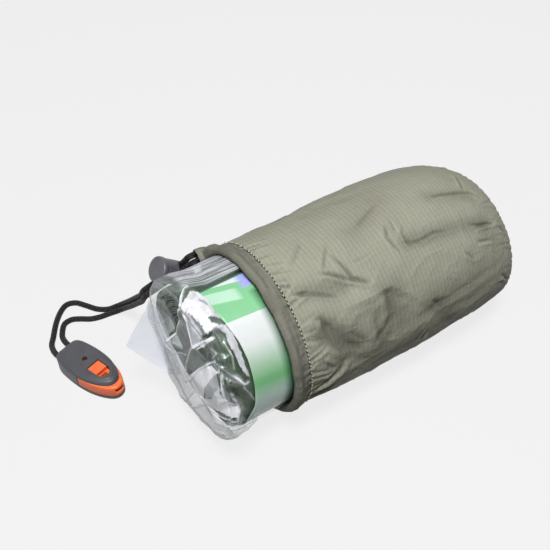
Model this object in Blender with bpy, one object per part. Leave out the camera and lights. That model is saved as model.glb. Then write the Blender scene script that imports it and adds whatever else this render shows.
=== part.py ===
"""Emergency bivvy bag, packed in its drawcord stuff sack.

The sack lies on its side with its mouth towards -X and its sewn base towards +X. The rolled bivvy,
wrapped in an insert sheet and a clear film bag, stands out of the mouth and pulls out along -X.
The drawcord leaves the hem at the back, passes through a spring cord lock and ends in a whistle.
Metres, +Z up, with the origin on the floor below the middle of the packed bag.
"""

import math

import bmesh
import bpy
from mathutils import Matrix, Vector

MM = 0.001

# Clearances between pieces
TOUCH_GAP = 0.3 * MM
LOOSE_GAP = 0.35 * MM

# Stuff sack
SACK_LENGTH = 156 * MM
NECK_ROOM = 3.7 * MM
BELLY_ROOM = 5.7 * MM
SACK_TAIL_R = 40.2 * MM
SACK_BELLY_AT = 58 * MM
SACK_SHOULDER = 4.8
SACK_SINK = 1.2 * MM
SACK_FABRIC = 0.9 * MM
PUCKER_DEPTH = 0.5 * MM
PUCKER_REACH = 16 * MM
PUCKER_COUNT = 12
BASE_BULGE = 4.2 * MM
SEAM_ALLOWANCE = 6 * MM
SEAM_CLOTH = 0.9 * MM
SIDE_SEAM_AT = math.radians(-28)
FOLD_FADE = 11 * MM
# The cloth's main folds: how deep, or how far out if negative, how wide, and both ends of each, in
# millimetres from the mouth and degrees round the sack
SACK_FOLDS = (
    (1.7, 5.0, (20, 124), (40, 131)),
    (1.9, 5.5, (24, 150), (34, 172)),
    (-1.3, 6.0, (38, 143), (64, 141)),
    (1.4, 5.5, (54, 158), (54, 184)),
    (1.7, 5.0, (84, 124), (136, 133)),
    (1.3, 5.0, (112, 101), (136, 110)),
    (1.0, 8.0, (84, 88), (62, 100)),
    (1.3, 6.0, (88, 172), (100, 194)),
    (1.5, 6.0, (40, 48), (74, 34)),
    (1.5, 6.0, (92, 22), (128, 38)),
    (1.4, 6.0, (44, 228), (70, 244)),
    (1.3, 6.0, (112, 214), (134, 236)),
)

# Rolled bivvy and its wrappings
PACK_R = 42.5 * MM
PACK_STANDS_OUT = 29 * MM
PACK_BACK_ROOM = 36 * MM
FILM = 0.6 * MM
SHEET = 0.6 * MM
SHEET_FROM = math.radians(88)
SHEET_TO = math.radians(276)
SHEET_SETBACK = 4 * MM
SHEET_LENGTH = 136 * MM
ROLL_PLY = 3.1 * MM
ROLL_PLY_GAP = 0.5 * MM
ROLL_CORE_R = 4.6 * MM
ROLL_END_AT = math.radians(250)
FILM_END = 10 * MM
FILM_SAG = 1.4 * MM
FILM_CRUMPLE = 1.0 * MM
FILM_PAST_ROLL = 2 * MM
# The crumpled front's main humps, and hollows if negative: how high and wide in millimetres, the
# share of the film's end and of the pack's radius at which each lies, and the angle in degrees
FILM_HUMPS = (
    (2.4, 11, 0.50, 0.95, 110),
    (-2.2, 8, 0.90, 0.62, 63),
    (1.9, 9, 0.98, 0.28, 55),
    (-1.4, 8, 0.60, 0.90, 138),
    (1.7, 9, 0.60, 0.90, 166),
    (1.8, 9, 0.97, 0.36, 165),
    (1.7, 10, 0.65, 0.87, 215),
    (2.0, 9, 0.72, 0.84, 48),
)
EAR_FILM = 0.7 * MM
EAR_REACH = 54 * MM
EAR_TIP_R = 36.1 * MM

# Drawcord and hem
CORD_D = 3.4 * MM
CORD_PITCH = 3.8 * MM
HEM_WIDTH = 9.5 * MM
HEM_CLOTH = 0.5 * MM
EXIT_AT = math.radians(31)
EXIT_STANDS_OUT = 4 * MM

# Cord lock
LOCK_LENGTH = 18.6 * MM
LOCK_DISC_R = 7.2 * MM
LOCK_NARROW_R = 6.0 * MM
LOCK_WALL = 0.9 * MM
LOCK_FLOOR = 2.4 * MM
LOCK_HOLE_AT = 12.5 * MM
LOCK_TRAVEL = 3.0 * MM
BUTTON_STANDS_OUT = 4.6 * MM
LOCK_BEFORE_MOUTH = 14.2 * MM
LOCK_BESIDE_PACK = 6.4 * MM
LOCK_ABOVE_AXIS = 12.4 * MM
SPRING_WIRE = 0.7 * MM
SPRING_R = 3.4 * MM
SPRING_TURNS = 3.5

# Whistle
WHISTLE_LENGTH = 44 * MM
WHISTLE_HALF_WIDTH = 10.3 * MM
WHISTLE_HEIGHT = 13 * MM
WHISTLE_BOTTOM = 2.6 * MM
WHISTLE_CAP_AT = 9.8 * MM
WHISTLE_REAR = 10.5 * MM
CORD_HOLES_APART = 9.2 * MM
CORD_HOLE_Z = 5.9 * MM
CORD_HOLE_DEPTH = 8 * MM

# Derived places. The sack's rim and the ear's tip are equally far from the origin along X.
PACKED_LENGTH = SACK_LENGTH + EAR_REACH
MOUTH_X = EAR_REACH - PACKED_LENGTH / 2
END_X = MOUTH_X + SACK_LENGTH
CORD_R = CORD_D / 2
BORE_R = CORD_R + LOOSE_GAP
SACK_NECK_R = PACK_R + NECK_ROOM
SACK_BELLY_R = PACK_R + BELLY_ROOM
HEM_IN_R = PACK_R + TOUCH_GAP
HEM_RING_R = HEM_IN_R + HEM_CLOTH + BORE_R
HEM_OUT_R = HEM_RING_R + BORE_R + HEM_CLOTH
AXIS_Z = HEM_OUT_R + 0.4 * MM
HEM_CORD_X = MOUTH_X + HEM_CLOTH + BORE_R
TUBE_X = MOUTH_X + HEM_WIDTH + TOUCH_GAP
BASE_X = END_X - BASE_BULGE - SACK_FABRIC
SEAM_X = BASE_X - SEAM_ALLOWANCE
PACK_FRONT_X = MOUTH_X - PACK_STANDS_OUT
PACK_BACK_X = BASE_X - PACK_BACK_ROOM
SHEET_R = PACK_R - FILM - TOUCH_GAP - LOOSE_GAP / 2
ROLL_R = SHEET_R - SHEET - TOUCH_GAP
TURN = 2 * math.pi
RING = 60

for old in list(bpy.data.objects):
    bpy.data.objects.remove(old, do_unlink=True)


def plain_material(name, color, roughness, metallic=0.0, alpha=1.0):
    made = bpy.data.materials.new(name)
    made.use_nodes = True
    shader = made.node_tree.nodes["Principled BSDF"]
    shader.inputs["Base Color"].default_value = (*color, 1)
    shader.inputs["Roughness"].default_value = roughness
    shader.inputs["Metallic"].default_value = metallic
    shader.inputs["Alpha"].default_value = alpha
    made.diffuse_color = (*color, alpha)
    return made


RIPSTOP = plain_material("ripstop", (0.27, 0.27, 0.19), 0.7)
CORD_CLOTH = plain_material("black_braid", (0.012, 0.012, 0.014), 0.85)
CLEAR_FILM = plain_material("clear_film", (0.85, 0.87, 0.9), 0.1, alpha=0.35)
PRINTED_SHEET = plain_material("printed_sheet", (0.25, 0.62, 0.28), 0.35)
BIVVY_CLOTH = plain_material("bivvy_cloth", (0.06, 0.12, 0.06), 0.6)
BLACK_PLASTIC = plain_material("black_plastic", (0.03, 0.03, 0.035), 0.45)
ORANGE_PLASTIC = plain_material("orange_plastic", (0.9, 0.2, 0.05), 0.4)
SPRING_STEEL = plain_material("spring_steel", (0.6, 0.6, 0.6), 0.3, metallic=1.0)


def object_from(name, verts, faces, material):
    mesh = bpy.data.meshes.new(name)
    mesh.from_pydata([tuple(v) for v in verts], [], faces)
    work = bmesh.new()
    work.from_mesh(mesh)
    bmesh.ops.recalc_face_normals(work, faces=work.faces)
    work.to_mesh(mesh)
    work.free()
    mesh.shade_smooth()
    mesh.set_sharp_from_angle(angle=math.radians(35))
    made = bpy.data.objects.new(name, mesh)
    bpy.context.scene.collection.objects.link(made)
    if material:
        made.data.materials.append(material)
    return made


def as_cutter(made):
    made.hide_render = True
    made.display_type = "WIRE"
    return made


def boolean(made, other, operation="DIFFERENCE"):
    step = made.modifiers.new(other.name, "BOOLEAN")
    step.operation = operation
    step.solver = "EXACT"
    step.object = other


def loft(name, rings, material, closed=False):
    """Rings of equally many points, joined in order. A closed loft joins its last ring to its first,
    and an open one fills both ends."""
    count = len(rings[0])
    verts = [p for ring in rings for p in ring]
    faces = []
    steps = len(rings) if closed else len(rings) - 1
    for i in range(steps):
        a = i * count
        b = ((i + 1) % len(rings)) * count
        for j in range(count):
            k = (j + 1) % count
            faces.append((a + j, a + k, b + k, b + j))
    if not closed:
        faces.append(tuple(reversed(range(count))))
        last = (len(rings) - 1) * count
        faces.append(tuple(last + j for j in range(count)))
    return object_from(name, verts, faces, material)


def round_point(x, r, angle):
    """A point at radius r about the sack's axis. Angle 0 is the back, a quarter turn is the top."""
    return Vector((x, r * math.cos(angle), AXIS_Z + r * math.sin(angle)))


def smooth_route(points, step, leave=None, arrive=None):
    """A smooth curve through the points, read at equal steps along its length. It may leave its first
    point and arrive at its last one along a given direction."""
    points = [Vector(p) for p in points]
    ends = [2 * points[0] - points[1], *points, 2 * points[-1] - points[-2]]
    if leave:
        ends[0] = points[1] - leave * (points[1] - points[0]).length * 2
    if arrive:
        ends[-1] = points[-2] + arrive * (points[-1] - points[-2]).length * 2
    fine = []
    for i in range(1, len(ends) - 2):
        p0, p1, p2, p3 = ends[i - 1 : i + 3]
        for n in range(24):
            t = n / 24
            fine.append(
                0.5
                * (
                    2 * p1
                    + (p2 - p0) * t
                    + (2 * p0 - 5 * p1 + 4 * p2 - p3) * t**2
                    + (3 * p1 - p0 - 3 * p2 + p3) * t**3
                )
            )
    fine.append(points[-1])
    run = [0.0]
    for a, b in zip(fine, fine[1:]):
        run.append(run[-1] + (b - a).length)
    count = max(2, round(run[-1] / step))
    made, at = [], 0
    for n in range(count + 1):
        want = run[-1] * n / count
        while at < len(run) - 2 and run[at + 1] < want:
            at += 1
        share = (want - run[at]) / max(run[at + 1] - run[at], 1e-12)
        made.append(fine[at].lerp(fine[at + 1], min(1.0, share)))
    return made


def tube(name, points, radius, material, sides=2):
    """A curve with a round bevel and filled caps along the points."""
    curve = bpy.data.curves.new(name, "CURVE")
    curve.dimensions = "3D"
    curve.bevel_depth = radius
    curve.bevel_resolution = sides
    curve.use_fill_caps = True
    line = curve.splines.new("POLY")
    line.points.add(len(points) - 1)
    for spot, point in zip(line.points, points):
        spot.co = (*point, 1)
    made = bpy.data.objects.new(name, curve)
    bpy.context.scene.collection.objects.link(made)
    if material:
        curve.materials.append(material)
    return made


def tube_cutter(name, points, radius):
    """The same tube as a mesh, because a Boolean takes no curve."""
    line = tube(name + "_line", points, radius, None, sides=2)
    mesh = bpy.data.meshes.new_from_object(line.evaluated_get(bpy.context.evaluated_depsgraph_get()))
    bpy.data.objects.remove(line, do_unlink=True)
    work = bmesh.new()
    work.from_mesh(mesh)
    bmesh.ops.remove_doubles(work, verts=work.verts, dist=0.001 * MM)
    bmesh.ops.recalc_face_normals(work, faces=work.faces)
    work.to_mesh(mesh)
    work.free()
    made = bpy.data.objects.new(name, mesh)
    bpy.context.scene.collection.objects.link(made)
    return as_cutter(made)


# The sack's cloth tube: a lofted wall, gathered at the neck and flat where it lies on the floor
def sack_size(x):
    """The sack's radius and the height of its middle, where its weight flattens it a little on the floor."""
    start, belly = TUBE_X, MOUTH_X + SACK_BELLY_AT
    if x < belly:
        share = math.sin((x - start) / (belly - start) * math.pi / 2)
        radius = SACK_NECK_R + (SACK_BELLY_R - SACK_NECK_R) * share
        return radius, AXIS_Z + (SACK_BELLY_R - SACK_SINK - AXIS_Z) * share
    share = (x - belly) / (BASE_X - belly)
    radius = SACK_BELLY_R - (SACK_BELLY_R - SACK_TAIL_R) * share**SACK_SHOULDER
    return radius, radius - SACK_SINK


def fold_depth(x, angle):
    """How far the main folds draw the cloth in. They fade out towards both of its seams."""
    drawn = 0.0
    round_mm = SACK_BELLY_R / MM * math.radians(1)
    for depth, width, start, end in SACK_FOLDS:
        run_x, run_y = end[0] - start[0], (end[1] - start[1]) * round_mm
        off_x = (x - MOUTH_X) / MM - start[0]
        off_y = ((math.degrees(angle) - start[1] + 180) % 360 - 180) * round_mm
        share = min(1.0, max(0.0, (off_x * run_x + off_y * run_y) / (run_x**2 + run_y**2)))
        drawn += depth * math.exp(-(((off_x - share * run_x) ** 2 + (off_y - share * run_y) ** 2) / width**2))
    fade = min(1.0, max(0.0, (x - TUBE_X) / FOLD_FADE), max(0.0, (SEAM_X - x) / FOLD_FADE))
    return drawn * fade * MM


def sack_point(x, angle, inset, pucker=0.0):
    """A point so far inside the sack's outer face. The gathers of the neck fade along the sack."""
    radius, middle = sack_size(x)
    r = radius - inset + pucker * PUCKER_DEPTH * math.exp(-(x - TUBE_X) / PUCKER_REACH) - fold_depth(x, angle)
    return Vector((x, r * math.cos(angle), max(middle + r * math.sin(angle), inset)))


def sack_ring(x, inset):
    angles = [TURN * n / RING for n in range(RING)]
    return [sack_point(x, angle, inset, math.cos(PUCKER_COUNT * angle)) for angle in angles]


SACK_STEPS = 19
sack_stations = [TUBE_X + (SEAM_X - TUBE_X) * n / SACK_STEPS for n in range(SACK_STEPS + 1)]
sack_stations += [(SEAM_X + BASE_X) / 2, BASE_X]
loft(
    "sack_tube",
    [sack_ring(x, 0) for x in sack_stations] + [sack_ring(x, SACK_FABRIC) for x in reversed(sack_stations)],
    RIPSTOP,
    closed=True,
)


# The round base panel bulges out, and its edge is turned in against the tube's seam allowance
def base_ring(share, back):
    x = BASE_X + TOUCH_GAP + BASE_BULGE * (1 - share**2) + back
    middle = SACK_TAIL_R - SACK_SINK
    points = []
    for n in range(RING):
        edge = sack_point(BASE_X, TURN * n / RING, 0)
        points.append(Vector((x, edge.y * share, middle + (edge.z - middle) * share)))
    return points


BASE_SHARES = (1.0, 0.85, 0.6, 0.3, 0.06)
base_thick = SACK_FABRIC - TOUCH_GAP
loft(
    "sack_base_panel",
    [base_ring(s, 0) for s in reversed(BASE_SHARES)] + [base_ring(s, base_thick) for s in BASE_SHARES],
    RIPSTOP,
)


# Seam allowances lie inside the sack: a ring at the base and a strip along the side
def wall_band(name, stations, angle_from, angle_to, spans):
    """A band of cloth just inside the sack's wall."""
    whole = abs(angle_to - angle_from) > TURN - 0.001
    outer_in = SACK_FABRIC + TOUCH_GAP
    angles = [angle_from + (angle_to - angle_from) * n / spans for n in range(spans + (0 if whole else 1))]

    inner_in = outer_in + SEAM_CLOTH
    if whole:
        rings = [[sack_point(x, a, outer_in, -1) for a in angles] for x in stations]
        rings += [[sack_point(x, a, inner_in, -1) for a in angles] for x in reversed(stations)]
        return loft(name, rings, RIPSTOP, closed=True)
    rings = []
    for x in stations:
        outer = [sack_point(x, a, outer_in, -1) for a in angles]
        inner = [sack_point(x, a, inner_in, -1) for a in reversed(angles)]
        rings.append(outer + inner)
    return loft(name, rings, RIPSTOP)


wall_band("base_seam_allowance", sack_stations[-3:], 0, TURN, RING)
seam_half = SEAM_ALLOWANCE / SACK_BELLY_R / 2
side_stations = [TUBE_X + TOUCH_GAP, *sack_stations[1:SACK_STEPS], SEAM_X - TOUCH_GAP]
wall_band("side_seam_allowance", side_stations, SIDE_SEAM_AT - seam_half, SIDE_SEAM_AT + seam_half, 2)


# The drawcord's stretch in the hem: in at the exit, once round the mouth and out at the exit again
def hem_point(x_off, r_off, angle):
    return round_point(HEM_CORD_X + x_off, HEM_RING_R + r_off, angle)


BEND = math.radians(11)
EXIT_X = MOUTH_X - EXIT_STANDS_OUT
exit_run = EXIT_X + TOUCH_GAP - HEM_CORD_X
outer_leg = [
    hem_point(exit_run * 0.65, CORD_PITCH, EXIT_AT),
    hem_point(exit_run * 0.25, CORD_PITCH * 0.7, EXIT_AT + BEND * 0.35),
    hem_point(0, 0, EXIT_AT + BEND * 1.3),
]
inner_leg = [
    hem_point(0, 0, EXIT_AT - BEND * 1.3),
    hem_point(exit_run * 0.25, 0, EXIT_AT - BEND * 0.35),
    hem_point(exit_run * 0.65, 0, EXIT_AT),
]
ROUND_STOPS = 18
ring_from = EXIT_AT + BEND * 1.3
ring_to = EXIT_AT + TURN - BEND * 1.3
ring_stops = [hem_point(0, 0, ring_from + (ring_to - ring_from) * n / ROUND_STOPS) for n in range(1, ROUND_STOPS)]
hem_route = smooth_route(outer_leg + ring_stops + inner_leg, CORD_D * 1.6)
hem_route = [hem_point(exit_run, CORD_PITCH, EXIT_AT), *hem_route, hem_point(exit_run, 0, EXIT_AT)]
tube("drawcord_in_hem", hem_route, CORD_R, CORD_CLOTH)


# The hem: a cloth channel round the mouth, drawn out where the cord leaves it
def hem_ring(angle):
    """The hem's section at an angle: round at the rim, thin at the stitching."""
    half = HEM_OUT_R - HEM_RING_R
    wave = 0.35 * MM * math.cos(2 * PUCKER_COUNT * angle)
    back = MOUTH_X + HEM_WIDTH
    points = []
    for n in range(7):
        turn = math.radians(90 + 180 * n / 6)
        points.append(round_point(HEM_CORD_X + half * math.cos(turn), HEM_RING_R + half * math.sin(turn), angle))
    points.append(round_point(HEM_CORD_X + half * 0.7, HEM_RING_R - half, angle))
    points.append(round_point(back, HEM_IN_R + wave + 0.35 * MM, angle))
    points.append(round_point(back, SACK_NECK_R - 0.35 * MM, angle))
    points.append(round_point(HEM_CORD_X + half * 1.25, HEM_OUT_R - 0.6 * MM + wave, angle))
    return points


hem = loft("hem_channel", [hem_ring(TURN * n / RING) for n in range(RING)], RIPSTOP, closed=True)
exit_side = BORE_R + HEM_CLOTH
exit_low = HEM_RING_R - exit_side
exit_high = HEM_RING_R + CORD_PITCH + exit_side


def exit_ring(x, half_angle, low, high):
    points = []
    for n in range(16):
        turn = TURN * n / 16
        r = (low + high) / 2 + (high - low) / 2 * math.sin(turn)
        points.append(round_point(x, r, EXIT_AT + half_angle * math.cos(turn)))
    return points


tip_half = exit_side / HEM_RING_R
exit_sleeve = loft(
    "hem_exit_sleeve",
    [
        exit_ring(HEM_CORD_X + 1.5 * MM, tip_half * 4.2, exit_low + 0.2 * MM, HEM_OUT_R - 0.2 * MM),
        exit_ring(HEM_CORD_X - 0.8 * MM, tip_half * 3.0, exit_low + 0.1 * MM, exit_high - 1.6 * MM),
        exit_ring(HEM_CORD_X - 3.0 * MM, tip_half * 1.7, exit_low + 0.05 * MM, exit_high - 0.4 * MM),
        exit_ring(EXIT_X, tip_half * 1.12, exit_low, exit_high),
    ],
    None,
)
as_cutter(exit_sleeve)
boolean(hem, exit_sleeve, "UNION")
split = len(hem_route) - 6
bore_a = tube_cutter("hem_bore_a", [hem_point(exit_run - 3 * MM, CORD_PITCH, EXIT_AT), *hem_route[1:split]], BORE_R)
boolean(hem, bore_a)
bore_b = tube_cutter("hem_bore_b", [*hem_route[split - 2 : -1], hem_point(exit_run - 3 * MM, 0, EXIT_AT)], BORE_R)
boolean(hem, bore_b)


# The folded bivvy is rolled up tight: one long strip wound from the core outwards, which ends under
# the insert sheet
def roll_strip():
    pitch = ROLL_PLY + ROLL_PLY_GAP
    turns = (ROLL_R - ROLL_PLY - ROLL_CORE_R) / pitch
    per_turn = 26
    count = round(turns * per_turn)
    inner, outer = [], []
    for n in range(count + 1):
        angle = ROLL_END_AT - TURN * turns * (1 - n / count)
        r = ROLL_CORE_R + pitch * turns * n / count
        inner.append((r, angle))
        outer.append((r + ROLL_PLY, angle))
    return inner, outer


def roll_end(x):
    inner, outer = roll_strip()
    path = outer + list(reversed(inner))
    return [round_point(x, r, angle) for r, angle in path]


def wound_roll(name):
    """Side walls along X, and end faces made of one quad for each step of the strip."""
    front, back = roll_end(PACK_FRONT_X), roll_end(PACK_BACK_X)
    count = len(front)
    faces = []
    for j in range(count):
        k = (j + 1) % count
        faces.append((j, k, count + k, count + j))
    half = count // 2
    for j in range(half - 1):
        a, b, c, d = j, j + 1, count - 2 - j, count - 1 - j
        faces.append((d, c, b, a))
        faces.append((count + a, count + b, count + c, count + d))
    return object_from(name, front + back, faces, BIVVY_CLOTH)


wound_roll("bivvy_roll")


# The insert sheet is wrapped round the roll's top, front and underside
def sheet_section(x):
    spans = 20
    angles = [SHEET_FROM + (SHEET_TO - SHEET_FROM) * n / spans for n in range(spans + 1)]
    outer = [round_point(x, SHEET_R, a) for a in angles]
    inner = [round_point(x, SHEET_R - SHEET, a) for a in reversed(angles)]
    return outer + inner


sheet_front = PACK_FRONT_X + SHEET_SETBACK
loft("insert_sheet", [sheet_section(sheet_front), sheet_section(sheet_front + SHEET_LENGTH)], PRINTED_SHEET)


# The clear film bag: a sleeve round the roll, crumpled shut in front, open behind, with a flat ear
def film_hump(x, share, angle):
    """How far the front's humps and hollows move the film, outwards only where it lies on the pack."""
    moved = 0.0
    for height, width, along, wide, at in FILM_HUMPS:
        peak = round_point(PACK_FRONT_X - FILM_END * along, PACK_R * wide, math.radians(at))
        off = (round_point(x, PACK_R * share, angle) - peak).length / MM
        moved += height * math.exp(-((off / width) ** 2))
    if share == 1:
        moved = max(0.0, moved) * min(1.0, max(0.0, (MOUTH_X - PACK_STANDS_OUT * 0.28 - x) / (8 * MM)))
    return moved * MM


def film_ring(x, share, inset):
    """share is the ring's size: 1 along the sleeve, smaller on the closed front."""
    out = max(0.0, MOUTH_X - PACK_STANDS_OUT * 0.28 - x) / (PACK_STANDS_OUT + FILM_END)
    points = []
    for n in range(40):
        angle = TURN * n / 40
        wave = 1 + 0.6 * math.cos(5 * angle + 0.7) + 0.4 * math.cos(8 * angle + 2.1)
        r = (PACK_R + FILM_CRUMPLE * out * wave) * share - inset
        hump = film_hump(x, share, angle)
        ahead = math.sqrt(max(0.0, 1 - share**2))
        spot = round_point(x - hump * ahead, max(r + hump * share, FILM), angle)
        below = max(0.0, -math.sin(angle))
        spot.z -= FILM_SAG * below * share * min(1.0, 2.2 * out)
        points.append(spot)
    return points


FILM_FRONT = ((0.3, 0.985), (0.55, 0.93), (0.76, 0.82), (0.9, 0.62), (0.97, 0.36), (1.0, 0.1))
sleeve_xs = [PACK_BACK_X + FILM_PAST_ROLL]
sleeve_xs += [MOUTH_X - PACK_STANDS_OUT * share for share in (0, 0.28, 0.55, 0.83, 1)]
film_out = [film_ring(x, 1, 0) for x in sleeve_xs]
film_out += [film_ring(PACK_FRONT_X - FILM_END * d, s, 0) for d, s in FILM_FRONT]
film_in = [film_ring(x, 1, FILM) for x in sleeve_xs]
film_in += [film_ring(PACK_FRONT_X - FILM_END * d + FILM, s, FILM * 0.8) for d, s in FILM_FRONT]


def film_sleeve(name):
    rings = list(reversed(film_out)) + film_in
    return loft(name, rings, CLEAR_FILM)


film_bag = film_sleeve("clear_bag")


def flap(name, corners, thick):
    """A flat film flap through its corners, with its thickness to one side."""
    corners = [Vector(c) for c in corners]
    side = (corners[1] - corners[0]).cross(corners[2] - corners[0]).normalized() * thick
    count = len(corners)
    verts = corners + [c + side for c in corners]
    faces = [tuple(range(count)), tuple(reversed(range(count, 2 * count)))]
    for j in range(count):
        k = (j + 1) % count
        faces.append((j, k, count + k, count + j))
    return object_from(name, verts, faces, None)


ear = flap(
    "clear_bag_ear",
    [
        round_point(MOUTH_X - EAR_REACH, EAR_TIP_R, math.radians(-14)),
        round_point(PACK_FRONT_X - FILM_END * 0.6, PACK_R * 0.95, math.radians(15)),
        round_point(PACK_FRONT_X - FILM_END * 0.35, PACK_R * 0.74, math.radians(7)),
        round_point(PACK_FRONT_X - FILM_END * 0.5, PACK_R * 0.62, math.radians(-63)),
        round_point(PACK_FRONT_X - FILM_END * 1.25, PACK_R * 0.58, math.radians(-54)),
    ],
    EAR_FILM,
)
as_cutter(ear)
boolean(film_bag, ear, "UNION")


# Where the cord lock hangs: the cord pair runs through it along LOCK_RUN, and its button faces LOCK_AXIS
LOCK_AT = Vector((MOUTH_X - LOCK_BEFORE_MOUTH, PACK_R + LOCK_BESIDE_PACK, AXIS_Z + LOCK_ABOVE_AXIS))
LOCK_AXIS = Vector((0.8, -0.02, -0.6)).normalized()
LOCK_RUN = Vector((-0.51, 0.495, -0.70))
LOCK_RUN = (LOCK_RUN - LOCK_RUN.project(LOCK_AXIS)).normalized()
LOCK_SIDE = LOCK_AXIS.cross(LOCK_RUN)
LOCK_SLIDE = 18 * MM
STRAIGHT_BEFORE = 7.2 * MM
STRAIGHT_AFTER = LOCK_SLIDE + 8 * MM

lock_frame = bpy.data.objects.new("cord_lock_axis", None)
bpy.context.scene.collection.objects.link(lock_frame)
lock_basis = Matrix((LOCK_SIDE, LOCK_RUN, LOCK_AXIS)).transposed()
lock_frame.matrix_world = Matrix.Translation(LOCK_AT) @ lock_basis.to_4x4()


def turned(name, profile, material, sides=32):
    """A profile of (radius, height) revolved about Z, from one end on the axis to the other."""
    rings = []
    for r, z in profile:
        radius = max(r, 0.02 * MM)
        rings.append([(radius * math.cos(TURN * n / sides), radius * math.sin(TURN * n / sides), z) for n in range(sides)])
    return loft(name, rings, material)


def cord_slot(name, half_wide, half_long, depth, at):
    """A cutter along Y: half_wide along X and half_long along Z, with corners as round as the cord's bore."""
    r = BORE_R
    section = []
    for n in range(24):
        turn = TURN * (n + 0.5) / 24
        x = r * math.cos(turn) + math.copysign(half_wide - r, math.cos(turn))
        z = r * math.sin(turn) + math.copysign(half_long - r, math.sin(turn))
        section.append((x, z + at))
    rings = [[(x, y, z) for x, z in section] for y in (-depth, depth)]
    return as_cutter(loft(name, rings, None))


def on_lock(made):
    made.parent = lock_frame
    return made


# Cord lock, in its own frame: Z runs towards the button, Y along the cord, and Z = 0 is the cord hole
disc_z = -LOCK_HOLE_AT
mouth_z = disc_z + LOCK_LENGTH
bore_r = LOCK_NARROW_R - LOCK_WALL
barrel = on_lock(
    turned(
        "lock_barrel",
        [
            (0, disc_z),
            (LOCK_DISC_R * 0.6, disc_z + 0.15 * MM),
            (LOCK_DISC_R * 0.9, disc_z + 0.6 * MM),
            (LOCK_DISC_R, disc_z + 1.5 * MM),
            (LOCK_DISC_R, disc_z + 2.6 * MM),
            (LOCK_DISC_R - 0.5 * MM, disc_z + 3.0 * MM),
            ((LOCK_DISC_R + LOCK_NARROW_R) / 2, -1.0 * MM),
            (LOCK_NARROW_R, mouth_z - 0.6 * MM),
            (LOCK_NARROW_R - 0.4 * MM, mouth_z),
            (bore_r, mouth_z),
            (bore_r, disc_z + LOCK_FLOOR),
            (0, disc_z + LOCK_FLOOR),
        ],
        BLACK_PLASTIC,
    )
)
hole_half = (CORD_PITCH + CORD_D) / 2 + LOOSE_GAP
barrel_hole = on_lock(cord_slot("barrel_hole", hole_half, BORE_R, LOCK_DISC_R * 2, 0))
boolean(barrel, barrel_hole)

plunger_r = bore_r - LOOSE_GAP
plunger_foot = disc_z + LOCK_FLOOR + TOUCH_GAP * 2 + SPRING_WIRE * (SPRING_TURNS + 1) + LOCK_TRAVEL
button_z = mouth_z + BUTTON_STANDS_OUT
plunger = on_lock(
    turned(
        "lock_plunger",
        [
            (0, plunger_foot),
            (plunger_r, plunger_foot),
            (plunger_r, button_z - 1.2 * MM),
            (plunger_r * 0.86, button_z - 0.4 * MM),
            (plunger_r * 0.5, button_z),
            (0, button_z),
        ],
        BLACK_PLASTIC,
    )
)
slot_half = BORE_R + LOCK_TRAVEL / 2
plunger_slot = on_lock(cord_slot("plunger_slot", hole_half, slot_half, LOCK_DISC_R * 2, LOCK_TRAVEL / 2))
boolean(plunger, plunger_slot)


# The plunger's spring stands on the barrel's floor
def spring_points():
    foot = disc_z + LOCK_FLOOR + TOUCH_GAP + SPRING_WIRE / 2
    head = plunger_foot - TOUCH_GAP - SPRING_WIRE / 2
    count = round(SPRING_TURNS * 9)
    made = []
    for n in range(count + 1):
        share = n / count
        angle = TURN * SPRING_TURNS * share
        made.append(Vector((SPRING_R * math.cos(angle), SPRING_R * math.sin(angle), foot + (head - foot) * share)))
    return made


def least_gap(points, wire, apart):
    """The narrowest gap between stretches of the tube that are at least so many points apart."""
    least = min(
        (points[i] - points[j]).length for i in range(len(points)) for j in range(i + apart, len(points))
    )
    return least - wire


spring_line = spring_points()
print("lock_spring least gap to itself, mm:", round(least_gap(spring_line, SPRING_WIRE, 6) / MM, 3))
on_lock(tube("lock_spring", spring_line, SPRING_WIRE / 2, SPRING_STEEL, sides=1))

# Whistle, in its own frame: X from the cord end to the mouthpiece, Z up from the floor
WHISTLE_AT = Vector((MOUTH_X - 75.3 * MM, 79.5 * MM, 0))
WHISTLE_TURN = math.radians(-72)
whistle_frame = bpy.data.objects.new("whistle_place", None)
bpy.context.scene.collection.objects.link(whistle_frame)
whistle_frame.matrix_world = Matrix.Translation(WHISTLE_AT) @ Matrix.Rotation(WHISTLE_TURN, 4, "Z")
OUTLINE = ((0.0, 0.66), (0.03, 0.8), (0.16, 0.95), (0.34, 1.0), (0.6, 0.9), (0.8, 0.68), (0.93, 0.42), (0.985, 0.2))


def on_whistle(made):
    made.parent = whistle_frame
    return made


def whistle_outline(x_from, x_to, inset):
    """The whistle's plan: half widths along its length, mirrored, and drawn in by the inset."""
    length = x_to - x_from
    upper = []
    for along, wide in OUTLINE:
        x = x_from + inset + (length - 2 * inset) * along
        upper.append((x, (WHISTLE_HALF_WIDTH - inset) * wide))
    return upper + [(x, -y) for x, y in reversed(upper)]


def slab(name, layers, material):
    """Outlines stacked up in Z."""
    return on_whistle(loft(name, [[(x, y, z) for x, y in outline] for z, outline in layers], material))


slab(
    "whistle_bottom_shell",
    [
        (0, whistle_outline(0, WHISTLE_LENGTH, 1.3 * MM)),
        (0.5 * MM, whistle_outline(0, WHISTLE_LENGTH, 0.5 * MM)),
        (1.2 * MM, whistle_outline(0, WHISTLE_LENGTH, 0)),
        (WHISTLE_BOTTOM, whistle_outline(0, WHISTLE_LENGTH, 0)),
    ],
    BLACK_PLASTIC,
)


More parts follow.
